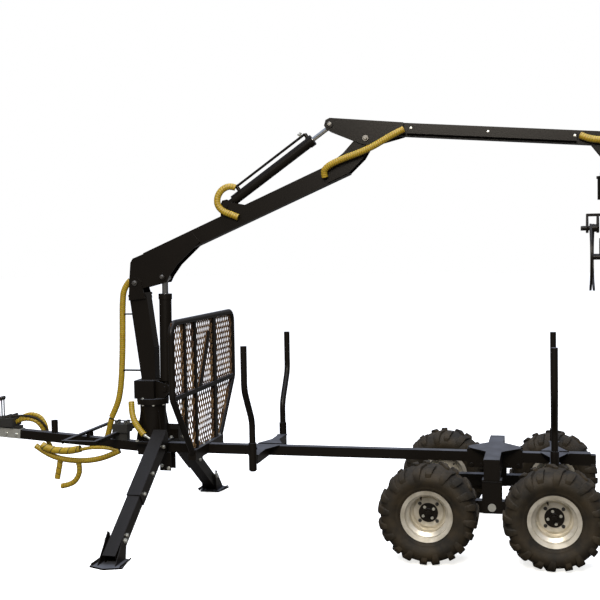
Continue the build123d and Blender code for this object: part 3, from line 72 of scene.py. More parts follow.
# Two free hose tails hang under the drawbar: rubber hoses wound in a yellow polyethylene strip.
# The drawing is in millimetres ahead of the bogie pivot. The strip is a helix with a dark gap.
BOGIE_X = (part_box("bogie_pivots")[0].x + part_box("bogie_pivots")[1].x) / 2
RING_SPACING = 0.0030
GAP_SHARE = 0.13
GAP_DEPTH = 0.0014


def drawn(point):
    """A point of the drawing, in the frame's metres."""
    x, y, z = point
    return Vector((BOGIE_X + x / 1000, y / 1000, z / 1000))


def linear(colour):
    """An sRGB hex colour as linear RGBA."""
    parts = [int(colour[i:i + 2], 16) / 255 for i in (0, 2, 4)]
    return [c / 12.92 if c <= 0.04045 else ((c + 0.055) / 1.055) ** 2.4 for c in parts] + [1.0]


def add_node(tree, kind, inputs=None, **settings):
    """Adds a shader node with its settings. Each input takes a value or another node's output."""
    node = tree.nodes.new(kind)
    for key, value in settings.items():
        setattr(node, key, value)
    for key, value in (inputs or {}).items():
        if isinstance(value, bpy.types.NodeSocket):
            tree.links.new(value, node.inputs[key])
        else:
            node.inputs[key].default_value = value
    return node


def new_finish(name):
    material = bpy.data.materials.new(name)
    material.use_nodes = True
    tree = material.node_tree
    return material, tree, tree.nodes["Principled BSDF"]


def centreline(name, route):
    """Points along the hose's NURBS spline, which has the route's points as its control points."""
    curve = bpy.data.curves.new(name, "CURVE")
    curve.dimensions = "3D"
    curve.resolution_u = 24
    spline = curve.splines.new("NURBS")
    spline.points.add(len(route) - 1)
    for point, place in zip(spline.points, route):
        point.co = (*drawn(place), 1)
    spline.order_u = 3
    spline.use_endpoint_u = True
    holder = bpy.data.objects.new(name, curve)
    bpy.context.scene.collection.objects.link(holder)
    bpy.context.view_layer.update()
    line = [v.co.copy() for v in bpy.data.meshes.new_from_object(holder).vertices]
    bpy.data.objects.remove(holder)
    return line


def evenly(line, spacing):
    """The same line with its points a set distance apart."""
    lengths = [(b - a).length for a, b in zip(line, line[1:])]
    count = max(4, round(sum(lengths) / spacing))
    step = sum(lengths) / count
    points = [line[0]]
    walked = 0
    for a, b, length in zip(line, line[1:], lengths):
        while len(points) < count and walked + length >= step * len(points):
            points.append(a.lerp(b, (step * len(points) - walked) / length))
        walked += length
    points.append(line[-1])
    return points


def wound_hose(name, route, radius, pitch, sides=20):
    """A mesh tube along the route, with the strip's helical gap pressed into it."""
    points = evenly(centreline(name, route), RING_SPACING)
    shell = bmesh.new()
    wind = shell.loops.layers.uv.new("Wind")
    side = (points[1] - points[0]).orthogonal().normalized()
    rings = []
    walked = 0
    for index, point in enumerate(points):
        before = points[max(0, index - 1)]
        after = points[min(len(points) - 1, index + 1)]
        run = (after - before).normalized()
        side = (side - run * side.dot(run)).normalized()
        other = run.cross(side)
        walked += (point - before).length
        ring = []
        for step in range(sides):
            turn = step / sides
            phase = (walked / pitch + turn) % 1
            edge = min(1, max(0, (abs(phase - 0.5) - 0.5 + GAP_SHARE) / (GAP_SHARE * 0.6)))
            reach = radius - GAP_DEPTH * edge
            angle = turn * 2 * math.pi
            ring.append(shell.verts.new(point + (side * math.cos(angle) + other * math.sin(angle)) * reach))
        rings.append((ring, walked / pitch))
    for (ring_a, wind_a), (ring_b, wind_b) in zip(rings, rings[1:]):
        for step in range(sides):
            beyond = (step + 1) % sides
            face = shell.faces.new((ring_a[step], ring_a[beyond], ring_b[beyond], ring_b[step]))
            face.smooth = True
            corners = ((wind_a, step), (wind_a, step + 1), (wind_b, step + 1), (wind_b, step))
            for loop, (along, turn) in zip(face.loops, corners):
                loop[wind].uv = (turn / sides, along)
    shell.faces.new(list(reversed(rings[0][0])))
    shell.faces.new(rings[-1][0])
    mesh = bpy.data.meshes.new(name)
    shell.to_mesh(mesh)
    shell.free()
    piece = bpy.data.objects.new(name, mesh)
    bpy.context.scene.collection.objects.link(piece)
    mesh.materials.append(hose_yellow)
    return piece, points


# Yellow polyethylene strip, extruded: a half-gloss plastic that has dulled outdoors, with grease and
# dust in the gap, where the black hose shows between the turns.
hose_yellow, tree, shader = new_finish("yellow_spiral_guard")
uv = add_node(tree, "ShaderNodeUVMap", uv_map="Wind")
parts = add_node(tree, "ShaderNodeSeparateXYZ", {0: uv.outputs[0]})
phase = add_node(tree, "ShaderNodeMath", {0: parts.outputs[0], 1: parts.outputs[1]}, operation="ADD")
wrap = add_node(tree, "ShaderNodeMath", {0: phase.outputs[0]}, operation="FRACT")
off_middle = add_node(tree, "ShaderNodeMath", {0: wrap.outputs[0], 1: 0.5}, operation="SUBTRACT")
off_size = add_node(tree, "ShaderNodeMath", {0: off_middle.outputs[0]}, operation="ABSOLUTE")
gap = add_node(tree, "ShaderNodeMapRange",
               {0: off_size.outputs[0], 1: 0.5 - GAP_SHARE * 0.62, 2: 0.5 - GAP_SHARE * 0.3})
place = add_node(tree, "ShaderNodeTexCoord")
blotch = add_node(tree, "ShaderNodeTexNoise", {"Vector": place.outputs["Object"], "Scale": 38, "Detail": 4})
tint = add_node(tree, "ShaderNodeMix",
                {0: blotch.outputs[0], 6: linear("BCA026"), 7: linear("977A18")}, data_type="RGBA")
grime = add_node(tree, "ShaderNodeTexNoise", {"Vector": place.outputs["Object"], "Scale": 140, "Detail": 3})
grime_mask = add_node(tree, "ShaderNodeMapRange", {0: grime.outputs[0], 1: 0.55, 2: 0.8, 4: 0.4})
dulled = add_node(tree, "ShaderNodeMix",
                  {0: grime_mask.outputs[0], 6: tint.outputs[2], 7: linear("7A6A26")}, data_type="RGBA")
strip = add_node(tree, "ShaderNodeMix",
                 {0: gap.outputs[0], 6: dulled.outputs[2], 7: linear("4E430F")}, data_type="RGBA")
tree.links.new(strip.outputs[2], shader.inputs["Base Color"])
shader.inputs["Roughness"].default_value = 0.46
shader.inputs["IOR"].default_value = 1.51
shader.inputs["Subsurface Weight"].default_value = 0.06
scratch = add_node(tree, "ShaderNodeBump", {"Height": grime.outputs[0], "Strength": 0.15, "Distance": 0.001})
tree.links.new(scratch.outputs[0], shader.inputs["Normal"])

TAIL_R = 0.0195
THIN_TAIL_R = 0.0180
straight_tail = wound_hose("hose_guard_tail_straight", [
    (2870, 12, 404), (2875, 12, 362), (2888, 12, 307), (2897, 12, 264)], TAIL_R, 0.040)[0]
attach(straight_tail, "chassis")
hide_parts("hose_tail_straight")
curved_tail, tail_points = wound_hose("hose_guard_tail_curved", [
    (2742, 12, 388), (2728, 12, 340), (2744, 12, 276), (2795, 12, 226), (2866, 12, 214)],
    THIN_TAIL_R, 0.022)
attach(curved_tail, "chassis")
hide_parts("hose_tail_curved")

# Chassis: welded box section, plates and tubes in black alkyd enamel, sprayed over mill steel.
# It reads brown-black on the sides. Faces that point to the sky take a grey-blue tint that is partly real
# dust and oxide and partly a painted sheen standing in for the sky's reflection in the enamel.
PATCH_SCALE = 5.5
PEEL_SCALE = 420
black_enamel, tree, shader = new_finish("black_enamel")
place = add_node(tree, "ShaderNodeTexCoord")
shape = add_node(tree, "ShaderNodeNewGeometry")
facing = add_node(tree, "ShaderNodeSeparateXYZ", {0: shape.outputs["Normal"]})
drift = add_node(tree, "ShaderNodeTexNoise",
                 {"Vector": place.outputs["Object"], "Scale": PATCH_SCALE, "Detail": 8, "Roughness": 0.62})
# Painted sky sheen: faces that point up are tinted grey-blue in noise patches, standing for dust and also for
# the sky's light reflected in the paint.
skyward = add_node(tree, "ShaderNodeMapRange", {0: facing.outputs[2], 1: 0.86, 2: 0.99})
patch = add_node(tree, "ShaderNodeMapRange", {0: drift.outputs[0], 1: 0.3, 2: 0.72, 3: 0.35, 4: 1.0})
dust_and_sky_sheen = add_node(tree, "ShaderNodeMath", {0: skyward.outputs[0], 1: patch.outputs[0]}, operation="MULTIPLY")
body_tint = add_node(tree, "ShaderNodeMix", {0: drift.outputs[0], 6: linear("0F0C09"), 7: linear("18140F")},
                     data_type="RGBA")
dust_and_sheen_tint = add_node(tree, "ShaderNodeMix", {0: dust_and_sky_sheen.outputs[0], 6: body_tint.outputs[2], 7: linear("5C5E64")},
                  data_type="RGBA")
tree.links.new(dust_and_sheen_tint.outputs[2], shader.inputs["Base Color"])
rough = add_node(tree, "ShaderNodeMapRange", {0: dust_and_sky_sheen.outputs[0], 3: 0.34, 4: 0.55})
tree.links.new(rough.outputs[0], shader.inputs["Roughness"])
shader.inputs["IOR"].default_value = 1.46
shader.inputs["Specular IOR Level"].default_value = 0.22
peel = add_node(tree, "ShaderNodeTexNoise",
                {"Vector": place.outputs["Object"], "Scale": PEEL_SCALE, "Detail": 2})
orange_peel = add_node(tree, "ShaderNodeBump",
                       {"Height": peel.outputs[0], "Strength": 0.1, "Distance": 0.0005})
tree.links.new(orange_peel.outputs[0], shader.inputs["Normal"])


def coat(finish, *names):
    """Gives CAD nodes a finish."""
    for name in names:
        mesh = nodes[name].data
        mesh.materials.clear()
        mesh.materials.append(finish)


coat(black_enamel, "main_beam", "drawbar", "rear_end", "axle_cross_beam", "bogie_beams", "bunks", "stakes",
     "guard_frame", "crane_base", "leg_sleeves", "leg_left", "leg_right", "slew_column", "mast", "boom_tube",
     "boom_foot", "boom_elbow", "cylinder_clevis", "arm_tube", "arm_crank", "arm_hose_cover", "lift_barrel",
     "arm_barrel", "grapple_head", "jaw_left", "jaw_right", "step_frame", "stub_tube",
     "hub_front_left", "hub_front_right", "hub_rear_left", "hub_rear_right", "rotator", "grapple_barrel")

# Coupling, pins and bolts: pressed or turned steel, bright zinc plated. The plating gives a pale,
# slightly blue and cloudy metal, with faint spangles a few millimetres across.
zinc_plate, tree, shader = new_finish("zinc_plate")
place = add_node(tree, "ShaderNodeTexCoord")
cloud = add_node(tree, "ShaderNodeTexNoise", {"Vector": place.outputs["Object"], "Scale": 60, "Detail": 5})
silver = add_node(tree, "ShaderNodeMix", {0: cloud.outputs[0], 6: linear("B3B6B0"), 7: linear("DDDCD2")},
                  data_type="RGBA")
tree.links.new(silver.outputs[2], shader.inputs["Base Color"])
shader.inputs["Metallic"].default_value = 0.7
satin = add_node(tree, "ShaderNodeMapRange", {0: cloud.outputs[0], 3: 0.3, 4: 0.48})
tree.links.new(satin.outputs[0], shader.inputs["Roughness"])
spangle = add_node(tree, "ShaderNodeTexVoronoi", {"Vector": place.outputs["Object"], "Scale": 220})
zinc_bump = add_node(tree, "ShaderNodeBump",
                     {"Height": spangle.outputs[0], "Strength": 0.08, "Distance": 0.0004})
tree.links.new(zinc_bump.outputs[0], shader.inputs["Normal"])
coat(zinc_plate, "coupling", "bogie_pivots")


def turned(name, profile, sides=24):
    """A turned piece on the Z axis: a disc, extruded ring by ring up its (radius, height) profile."""
    bpy.ops.object.select_all(action="DESELECT")
    bpy.ops.mesh.primitive_circle_add(vertices=sides, radius=profile[0][0], fill_type="NGON",
                                      location=(0, 0, profile[0][1]))
    piece = bpy.context.object
    piece.name = name
    bpy.ops.object.transform_apply(location=True, rotation=True, scale=True)
    bpy.ops.object.mode_set(mode="EDIT")
    bpy.ops.mesh.select_all(action="SELECT")
    for (r_a, z_a), (r_b, z_b) in zip(profile, profile[1:]):
        bpy.ops.mesh.extrude_region_move(TRANSFORM_OT_translate={"value": (0, 0, z_b - z_a)})
        bpy.ops.transform.resize(value=(r_b / r_a, r_b / r_a, 1), center_override=(0, 0, z_b))
    bpy.ops.mesh.select_all(action="SELECT")
    bpy.ops.mesh.normals_make_consistent(inside=False)
    bpy.ops.object.mode_set(mode="OBJECT")
    bpy.ops.object.shade_smooth_by_angle(angle=math.radians(35))
    return piece


def joined(name, pieces):
    bpy.ops.object.select_all(action="DESELECT")
    for piece in pieces:
        piece.select_set(True)
    bpy.context.view_layer.objects.active = pieces[0]
    if len(pieces) > 1:
        bpy.ops.object.join()
    pieces[0].name = name
    pieces[0].data.name = name
    return pieces[0]


def copied(pattern, matrix):
    """A copy of a finished pattern with its own mesh, moved in its vertices."""
    one = pattern.copy()
    one.data = pattern.data.copy()
    one.data.transform(matrix)
    bpy.context.scene.collection.objects.link(one)
    return one


def set_out(pattern, name, rows, body, finish):
    """Copies of a pattern at (drawn point, direction of its Z axis, scale), joined as one riding piece."""
    copies = []
    for point, axis, size in rows:
        turn = Vector((0, 0, 1)).rotation_difference(Vector(axis)).to_matrix().to_4x4()
        copies.append(copied(pattern, Matrix.Translation(drawn(point)) @ turn @ Matrix.Scale(size, 4)))
    piece = joined(name, copies)
    piece.data.materials.clear()
    piece.data.materials.append(finish)
    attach(piece, body)
    return piece


# Valves and plain fasteners: grey iron under one thin coat of black, whose sand-cast grain shows.
cast_black, tree, shader = new_finish("painted_cast_iron")
place = add_node(tree, "ShaderNodeTexCoord")
grain = add_node(tree, "ShaderNodeTexNoise", {"Vector": place.outputs["Object"], "Scale": 300, "Detail": 4})
cast_tint = add_node(tree, "ShaderNodeMix", {0: grain.outputs[0], 6: linear("1B1B1A"), 7: linear("34332F")},
                     data_type="RGBA")
tree.links.new(cast_tint.outputs[2], shader.inputs["Base Color"])
shader.inputs["Roughness"].default_value = 0.5
cast_bump = add_node(tree, "ShaderNodeBump",
                     {"Height": grain.outputs[0], "Strength": 0.35, "Distance": 0.001})
tree.links.new(cast_bump.outputs[0], shader.inputs["Normal"])

# Hexagon bolt with its washer, M12: a 19 mm head, forged with a chamfered top. One is modelled here
# and every bolt on the trailer is a copy of it, made larger or smaller.
bolt_head = turned("bolt_head", [(0.0102, 0.0022), (0.0108, 0.0032), (0.0108, 0.0088), (0.0094, 0.0102),
                                 (0.0040, 0.0104)], 6)
bolt_washer = turned("bolt_washer", [(0.0122, -0.0004), (0.0122, 0.0016), (0.0112, 0.0024),
                                     (0.006, 0.0024)], 20)
bolt = joined("bolt_pattern", [bolt_head, bolt_washer])
bpy.ops.object.shade_smooth_by_angle(angle=math.radians(30))

left, to_right, up, front, back = (0, 1, 0), (0, -1, 0), (0, 0, 1), (1, 0, 0), (-1, 0, 0)
COUPLING_FACE = 34.3
coupling_rows = []
for y, axis in ((COUPLING_FACE, left), (-COUPLING_FACE, to_right)):
    coupling_rows += [((x, y, z), axis, 1.0) for x, z in ((3180, 559), (3252, 564))]
set_out(bolt, "coupling_bolts", coupling_rows, "chassis", zinc_plate)

# Weld beads: short runs of filler along the joints that show, ground nowhere and painted over. Each
# is a thin bar with the ripples of the arc, laid in the corner between two plates.
RIPPLE = 0.0045


def weld(start, end, radius=0.0035):
    a, b = drawn(start), drawn(end)
    ripples = max(3, round((b - a).length / RIPPLE))
    profile = []
    for ripple in range(ripples):
        height = ripple * (b - a).length / ripples
        profile += [(radius * 0.72, height), (radius, height + RIPPLE * 0.5)]
    bead = turned("bead", profile + [(radius * 0.6, (b - a).length)], 7)
    turn = Vector((0, 0, 1)).rotation_difference(b - a).to_matrix().to_4x4()
    bead.data.transform(Matrix.Translation(a) @ turn)
    return bead


def weld_run(name, body, runs):
    piece = joined(name, [weld(start, end) for start, end in runs])
    piece.data.materials.append(black_enamel)
    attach(piece, body)


CROSS_HALF = 38.5
bogie_runs = []
for side in (-1, 1):
    y = side * CROSS_HALF
    bogie_runs += [((46, y, 548), (163, y, 548)), ((-163, y, 548), (-46, y, 548)),
                   ((46, y, 437), (46, y, 548)), ((-46, y, 437), (-46, y, 548)),
                   ((-56, side * 387.5, 426), (56, side * 387.5, 426)),
                   ((45, side * 152, 549), (45, side * 386, 549))]
weld_run("welds_bogie", "chassis", bogie_runs)
BUNK_REACH = 25
bunk_runs = []
for x in (1422, -350):
    for side in (-1, 1):
        for end in (-1, 1):
            bunk_runs.append(((x + end * BUNK_REACH, side * 31, 478), (x + end * BUNK_REACH, side * 31, 530)))
        bunk_runs.append(((x - 20, side * 346, 531), (x + 20, side * 346, 531)))
weld_run("welds_bunks", "chassis", bunk_runs)

# Bogie: clamp bolts through the cheeks on both sides of the beam, painted over with the chassis. The
# pivot pins are turned steel with a wide flat head.
bogie_bolts = []
for side in (-1, 1):
    for x in (78, 138, -78, -138):
        bogie_bolts.append(((x, side * 38.3, 452), (0, side, 0), 1.05))
set_out(bolt, "bogie_bolts", bogie_bolts, "chassis", black_enamel)

# Flat bars and plates that the drawing leaves out: the angle iron frame across the drawbar, a hanger
# plate under the beam beside each leg, and the folded sides and lips of the two feet.
BAR_EDGE = 0.0012


def slab(low, high, tilt=0.0, about=None):
    """A plate between two drawn corners with broken edges. It may be tilted about a line along Y."""
    a, b = drawn(low), drawn(high)
    bpy.ops.object.select_all(action="DESELECT")
    bpy.ops.mesh.primitive_cube_add(size=1, location=(a + b) / 2)
    piece = bpy.context.object
    piece.scale = b - a
    bpy.ops.object.transform_apply(location=True, rotation=True, scale=True)
    edge = piece.modifiers.new("broken_edge", "BEVEL")
    edge.width = BAR_EDGE
    edge.segments = 2
    bpy.ops.object.modifier_apply(modifier="broken_edge")
    if tilt:
        hinge = drawn(about)
        turn = Matrix.Rotation(tilt, 4, "Y")
        piece.data.transform(Matrix.Translation(hinge) @ turn @ Matrix.Translation(-hinge))
    return piece


def plate(points, near, far):
    """A plate from (y, z) points of the drawing, from x = near to x = far."""
    bpy.ops.object.select_all(action="DESELECT")
    bpy.ops.mesh.primitive_circle_add(vertices=len(points), radius=1, fill_type="NGON")
    piece = bpy.context.object
    for vertex, (y, z) in zip(piece.data.vertices, points):
        vertex.co = drawn((near, y, z))
    bpy.ops.object.mode_set(mode="EDIT")
    bpy.ops.mesh.select_all(action="SELECT")
    bpy.ops.mesh.extrude_region_move(TRANSFORM_OT_translate={"value": ((far - near) / 1000, 0, 0)})
    bpy.ops.mesh.select_all(action="SELECT")
    bpy.ops.mesh.normals_make_consistent(inside=False)
    bpy.ops.object.mode_set(mode="OBJECT")
    return piece


def painted(name, body, pieces):
    piece = joined(name, pieces)
    piece.data.materials.clear()
    piece.data.materials.append(black_enamel)
    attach(piece, body)
    return piece


FRAME_REAR = 2432
FRAME_FRONT = 2668
FRAME_HALF = 385
FRAME_TOP = 598
BAR = 24
BAR_WALL = 5
frame_bars = []
for side in (-1, 1):
    frame_bars.append(slab((FRAME_REAR, side * FRAME_HALF - BAR / 2, FRAME_TOP - BAR_WALL),
                           (FRAME_FRONT, side * FRAME_HALF + BAR / 2, FRAME_TOP)))
for x in (FRAME_REAR + BAR / 2, FRAME_FRONT - BAR / 2):
    frame_bars.append(slab((x - BAR / 2, -FRAME_HALF, FRAME_TOP - BAR_WALL),
                           (x + BAR / 2, FRAME_HALF, FRAME_TOP)))
for x in (FRAME_REAR + 2, FRAME_FRONT - 2):
    frame_bars.append(slab((x - BAR_WALL / 2, -FRAME_HALF, FRAME_TOP - BAR),
                           (x + BAR_WALL / 2, FRAME_HALF, FRAME_TOP)))
for y in (-27, 27):
    for x in (FRAME_REAR + 40, FRAME_FRONT - BAR / 2):
        frame_bars.append(slab((x - BAR / 2, y - 3, 545), (x + BAR / 2, y + 3, FRAME_TOP - 2)))
drawbar_frame = painted("drawbar_frame", "chassis", frame_bars)
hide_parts("step_frame")
hangers = []
hanger_rows = []
for side in (-1, 1):
    hangers.append(slab((2071, min(side * 38, side * 46), 350), (2148, max(side * 38, side * 46), 470)))
    hanger_rows += [((x, side * 46.3, z), (0, side, 0), 1.0) for x, z in ((2086, 366), (2132, 384))]
painted("leg_hangers", "chassis", hangers)
set_out(bolt, "hanger_bolts", hanger_rows, "chassis", zinc_plate)
LEG_X = 2112
FOOT_Y = 909
CHEEK_INSIDE = 50.5
CHEEK_WALL = 5
LIP_EDGE = 82
LIP_REACH = 18
LIP_TILT = 0.95
for side_name, side in (("left", 1), ("right", -1)):
    outline = [(side * (FOOT_Y + dy), z) for dy, z in (
        (-64, 10), (84, 10), (58, 38), (-20, 118), (-66, 168), (-92, 150), (-96, 122), (-80, 100))]
    cheeks = [plate(outline, LEG_X + near, LEG_X + near + CHEEK_WALL)
              for near in (-CHEEK_INSIDE - CHEEK_WALL, CHEEK_INSIDE)]
    inner, outer = sorted((side * 850, side * 1000))
    lips = []
    for end in (1, -1):
        hinge_x = LEG_X + end * LIP_EDGE
        near, far = sorted((hinge_x, hinge_x + end * LIP_REACH))
        lips.append(slab((near, inner, 4), (far, outer, 10), -end * LIP_TILT, (hinge_x, 0, 7)))
    painted("foot_cheeks_" + side_name, "leg_" + side_name, cheeks + lips)

# Tyres: 22 x 11-10, moulded rubber with a chevron of deep blocks that wrap over the shoulder. The
# carcass is one outline spun about the axle, and two patterns of lug are copied round it.
WHEEL_Z = 279.5
WHEEL_X = 345.0
WHEEL_Y = 540.0
LUG_STEPS = 20
TREAD_TURN = 0.13
bpy.ops.object.select_all(action="DESELECT")
outline = [(0.1275, 0.0985), (0.139, 0.1035), (0.148, 0.1085), (0.156, 0.117), (0.162, 0.1225),
           (0.167, 0.1215), (0.176, 0.1275), (0.190, 0.1345), (0.206, 0.1378), (0.222, 0.1345),
           (0.236, 0.1270), (0.248, 0.1140), (0.258, 0.0980), (0.2645, 0.0740), (0.2670, 0.0400),
           (0.2675, 0.0)]
outline += [(r, -y) for r, y in reversed(outline[:-1])]
outline += [(0.1275, -0.076), (0.196, -0.122), (0.249, -0.072), (0.249, 0.072), (0.196, 0.122),
            (0.1275, 0.076)]
bpy.ops.mesh.primitive_circle_add(vertices=len(outline), radius=0.2)
carcass = bpy.context.object
for vertex, (r, y) in zip(carcass.data.vertices, outline):
    vertex.co = (r, y, 0)
bpy.ops.object.mode_set(mode="EDIT")
bpy.ops.mesh.select_all(action="SELECT")
bpy.ops.mesh.spin(steps=64, angle=2 * math.pi, center=(0, 0, 0), axis=(0, 1, 0))
bpy.ops.mesh.select_all(action="SELECT")
bpy.ops.mesh.remove_doubles(threshold=0.0001)
bpy.ops.mesh.normals_make_consistent(inside=False)
bpy.ops.object.mode_set(mode="OBJECT")
smoothing = carcass.modifiers.new("round", "SUBSURF")
smoothing.levels = 1
smoothing.render_levels = 1
bpy.ops.object.modifier_apply(modifier="round")
bpy.ops.object.shade_smooth()


def lug(stations):
    """A tread block: a bar cut across at each station, whose corners then take that station's sizes."""
    bpy.ops.object.select_all(action="DESELECT")
    bpy.ops.mesh.primitive_cube_add(size=1)
    bar = bpy.context.object
    last = stations[-1][0]
    first = stations[0][0]
    for vertex in bar.data.vertices:
        vertex.co.y = first if vertex.co.y < 0 else last
    bpy.ops.object.mode_set(mode="EDIT")
    for station in stations[1:-1]:
        bpy.ops.mesh.select_all(action="SELECT")
        bpy.ops.mesh.bisect(plane_co=(0, station[0], 0), plane_no=(0, 1, 0))
    bpy.ops.object.mode_set(mode="OBJECT")
    for vertex in bar.data.vertices:
        y, top_r, root_r, half_width, shift = min(stations, key=lambda s: abs(s[0] - vertex.co.y))
        reach = top_r if vertex.co.z > 0 else root_r
        across = shift + math.copysign(half_width, vertex.co.x)
        vertex.co = (across, y, math.sqrt(reach * reach - across * across))
    softened = bar.modifiers.new("moulded_edge", "BEVEL")
    softened.width = 0.0026
    softened.segments = 2
    softened.limit_method = "ANGLE"
    bpy.ops.object.modifier_apply(modifier="moulded_edge")
    return bar


# Columns: offset from the tyre's middle, top radius, root radius, half width, shift along the tread
long_lug = lug([(0.004, 0.2793, 0.250, 0.0120, -0.019), (0.040, 0.2793, 0.250, 0.0150, -0.007),
                (0.078, 0.2787, 0.246, 0.0180, 0.006), (0.098, 0.2760, 0.240, 0.0205, 0.013),
                (0.115, 0.2680, 0.232, 0.0220, 0.017), (0.128, 0.2545, 0.222, 0.0205, 0.019),
                (0.1365, 0.2390, 0.208, 0.0170, 0.020), (0.1385, 0.2270, 0.204, 0.0130, 0.020)])
short_lug = lug([(0.026, 0.2793, 0.250, 0.0110, 0.010), (0.060, 0.2793, 0.250, 0.0150, 0.018),
                 (0.088, 0.2780, 0.244, 0.0180, 0.024), (0.106, 0.2725, 0.236, 0.0200, 0.028),
                 (0.122, 0.2610, 0.226, 0.0190, 0.030), (0.1325, 0.2460, 0.214, 0.0150, 0.030)])
tread = [carcass]
for count in range(LUG_STEPS):
    pattern = (long_lug, short_lug)[count % 2]
    angle = count * 2 * math.pi / LUG_STEPS
    tread.append(copied(pattern, Matrix.Rotation(angle, 4, "Y")))
    offset = math.pi / LUG_STEPS
    tread.append(copied(pattern, Matrix.Rotation(angle + offset, 4, "Y") @ Matrix.Scale(-1, 4, (0, 1, 0))))
for pattern in (long_lug, short_lug):
    bpy.data.objects.remove(pattern)
tyre = joined("tyre_pattern", tread)
bpy.ops.object.mode_set(mode="EDIT")
bpy.ops.mesh.select_all(action="SELECT")
bpy.ops.mesh.normals_make_consistent(inside=False)
bpy.ops.object.mode_set(mode="OBJECT")
bpy.ops.object.shade_smooth_by_angle(angle=math.radians(40))

# Moulded tyre rubber after a dry yard: nearly black and matt, with brown dust in the tread and a
# paler film over the side walls.
tyre_rubber, tree, shader = new_finish("tyre_rubber")
place = add_node(tree, "ShaderNodeTexCoord")
film = add_node(tree, "ShaderNodeTexNoise",
                {"Vector": place.outputs["Object"], "Scale": 9, "Detail": 7, "Roughness": 0.6})
film_mask = add_node(tree, "ShaderNodeMapRange", {0: film.outputs[0], 1: 0.36, 2: 0.66})
rubber_tint = add_node(tree, "ShaderNodeMix",
                       {0: film_mask.outputs[0], 6: linear("1B170F"), 7: linear("352C1D")},
                       data_type="RGBA")
tree.links.new(rubber_tint.outputs[2], shader.inputs["Base Color"])
shader.inputs["Roughness"].default_value = 0.72
shader.inputs["IOR"].default_value = 1.52
shader.inputs["Specular IOR Level"].default_value = 0.3
pores = add_node(tree, "ShaderNodeTexNoise", {"Vector": place.outputs["Object"], "Scale": 260, "Detail": 3})
skin = add_node(tree, "ShaderNodeBump", {"Height": pores.outputs[0], "Strength": 0.25, "Distance": 0.0012})
tree.links.new(skin.outputs[0], shader.inputs["Normal"])
tyre.data.materials.append(tyre_rubber)
wheels = [("front", "left", 1, 1), ("front", "right", 1, -1),
          ("rear", "left", -1, 1), ("rear", "right", -1, -1)]
for end, side_name, ahead_sign, side in wheels:
    # The chevron points the same way on both sides of the trailer, so no tyre is turned round.
    spot = drawn((ahead_sign * WHEEL_X, side * WHEEL_Y, WHEEL_Z))
    one = copied(tyre, Matrix.Translation(spot) @ Matrix.Rotation(TREAD_TURN * ahead_sign, 4, "Y"))
    one.name = "tyre_tread_" + end + "_" + side_name
    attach(one, "wheel_" + end + "_" + side_name)
    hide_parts("tyre_" + end + "_" + side_name)
bpy.data.objects.remove(tyre)

# Rims and hubs: pressed steel dishes in silver lacquer, each bolted by four bright bolts to a black
# hub with a castle nut at the middle. Four black bolts and a rubber valve stand in the dish.
silver_lacquer, tree, shader = new_finish("silver_wheel_lacquer")
place = add_node(tree, "ShaderNodeTexCoord")
haze = add_node(tree, "ShaderNodeTexNoise", {"Vector": place.outputs["Object"], "Scale": 14, "Detail": 6})
haze_mask = add_node(tree, "ShaderNodeMapRange", {0: haze.outputs[0], 1: 0.42, 2: 0.72, 4: 0.8})
lacquer = add_node(tree, "ShaderNodeMix", {0: haze_mask.outputs[0], 6: linear("E2DCCD"), 7: linear("ABA38F")},
                   data_type="RGBA")
tree.links.new(lacquer.outputs[2], shader.inputs["Base Color"])
shader.inputs["Metallic"].default_value = 0.55
shader.inputs["Roughness"].default_value = 0.36
flake = add_node(tree, "ShaderNodeTexNoise", {"Vector": place.outputs["Object"], "Scale": 500, "Detail": 2})
flake_bump = add_node(tree, "ShaderNodeBump",
                      {"Height": flake.outputs[0], "Strength": 0.06, "Distance": 0.0004})
tree.links.new(flake_bump.outputs[0], shader.inputs["Normal"])
castle_nut = turned("castle_nut", [(0.0150, 0.0), (0.0158, 0.0015), (0.0158, 0.0100), (0.0130, 0.0108),
                                   (0.0126, 0.0150), (0.0085, 0.0152), (0.0080, 0.0185), (0.0020, 0.0188)], 6)
valve = turned("valve_stem", [(0.0075, 0.0), (0.0078, 0.003), (0.0052, 0.006), (0.0048, 0.019),
                              (0.0040, 0.0195), (0.0040, 0.028), (0.0030, 0.0286), (0.0010, 0.0288)], 14)
HUB_BOLT_R = 36
HUB_FACE = 14.3
HUB_END = 26.2
RIM_BOLT_R = 68
RIM_FACE = 6.3
VALVE_R = 101.0
VALVE_FOOT = 44
VALVE_LEAN = 0.45
VALVE_ANGLE = math.radians(68)


def ring(middle_x, radius, first, count, y, axis, size):
    """Rows for a pattern set out evenly on a circle round a wheel's axle, from a first angle."""
    rows = []
    for step in range(count):
        angle = first + step * 2 * math.pi / count
        spot = (middle_x + radius * math.cos(angle), y, WHEEL_Z + radius * math.sin(angle))
        rows.append((spot, axis, size))
    return rows


for end, side_name, ahead_sign, side in wheels:
    wheel = end + "_" + side_name
    body = "wheel_" + wheel
    coat(silver_lacquer, "rim_" + wheel)
    x, y = ahead_sign * WHEEL_X, side * WHEEL_Y
    outward = (0, side, 0)
    studs = ring(x, HUB_BOLT_R, math.radians(20 + 35 * ahead_sign), 4, y + side * HUB_FACE, outward, 0.72)
    set_out(bolt, "hub_bolts_" + wheel, studs, body, zinc_plate)
    set_out(castle_nut, "hub_nut_" + wheel, [((x, y + side * HUB_END, WHEEL_Z), outward, 1.0)],
            body, black_enamel)
    spares = ring(x, RIM_BOLT_R, math.pi / 4, 4, y + side * RIM_FACE, outward, 0.85)
    set_out(bolt, "rim_bolts_" + wheel, spares, body, cast_black)
    lean = (-VALVE_LEAN * math.cos(VALVE_ANGLE), side, -VALVE_LEAN * math.sin(VALVE_ANGLE))
    stem = ring(x, VALVE_R, VALVE_ANGLE, 1, y + side * VALVE_FOOT, lean, 1.0)
    set_out(valve, "tyre_valve_" + wheel, stem, body, tyre_rubber)

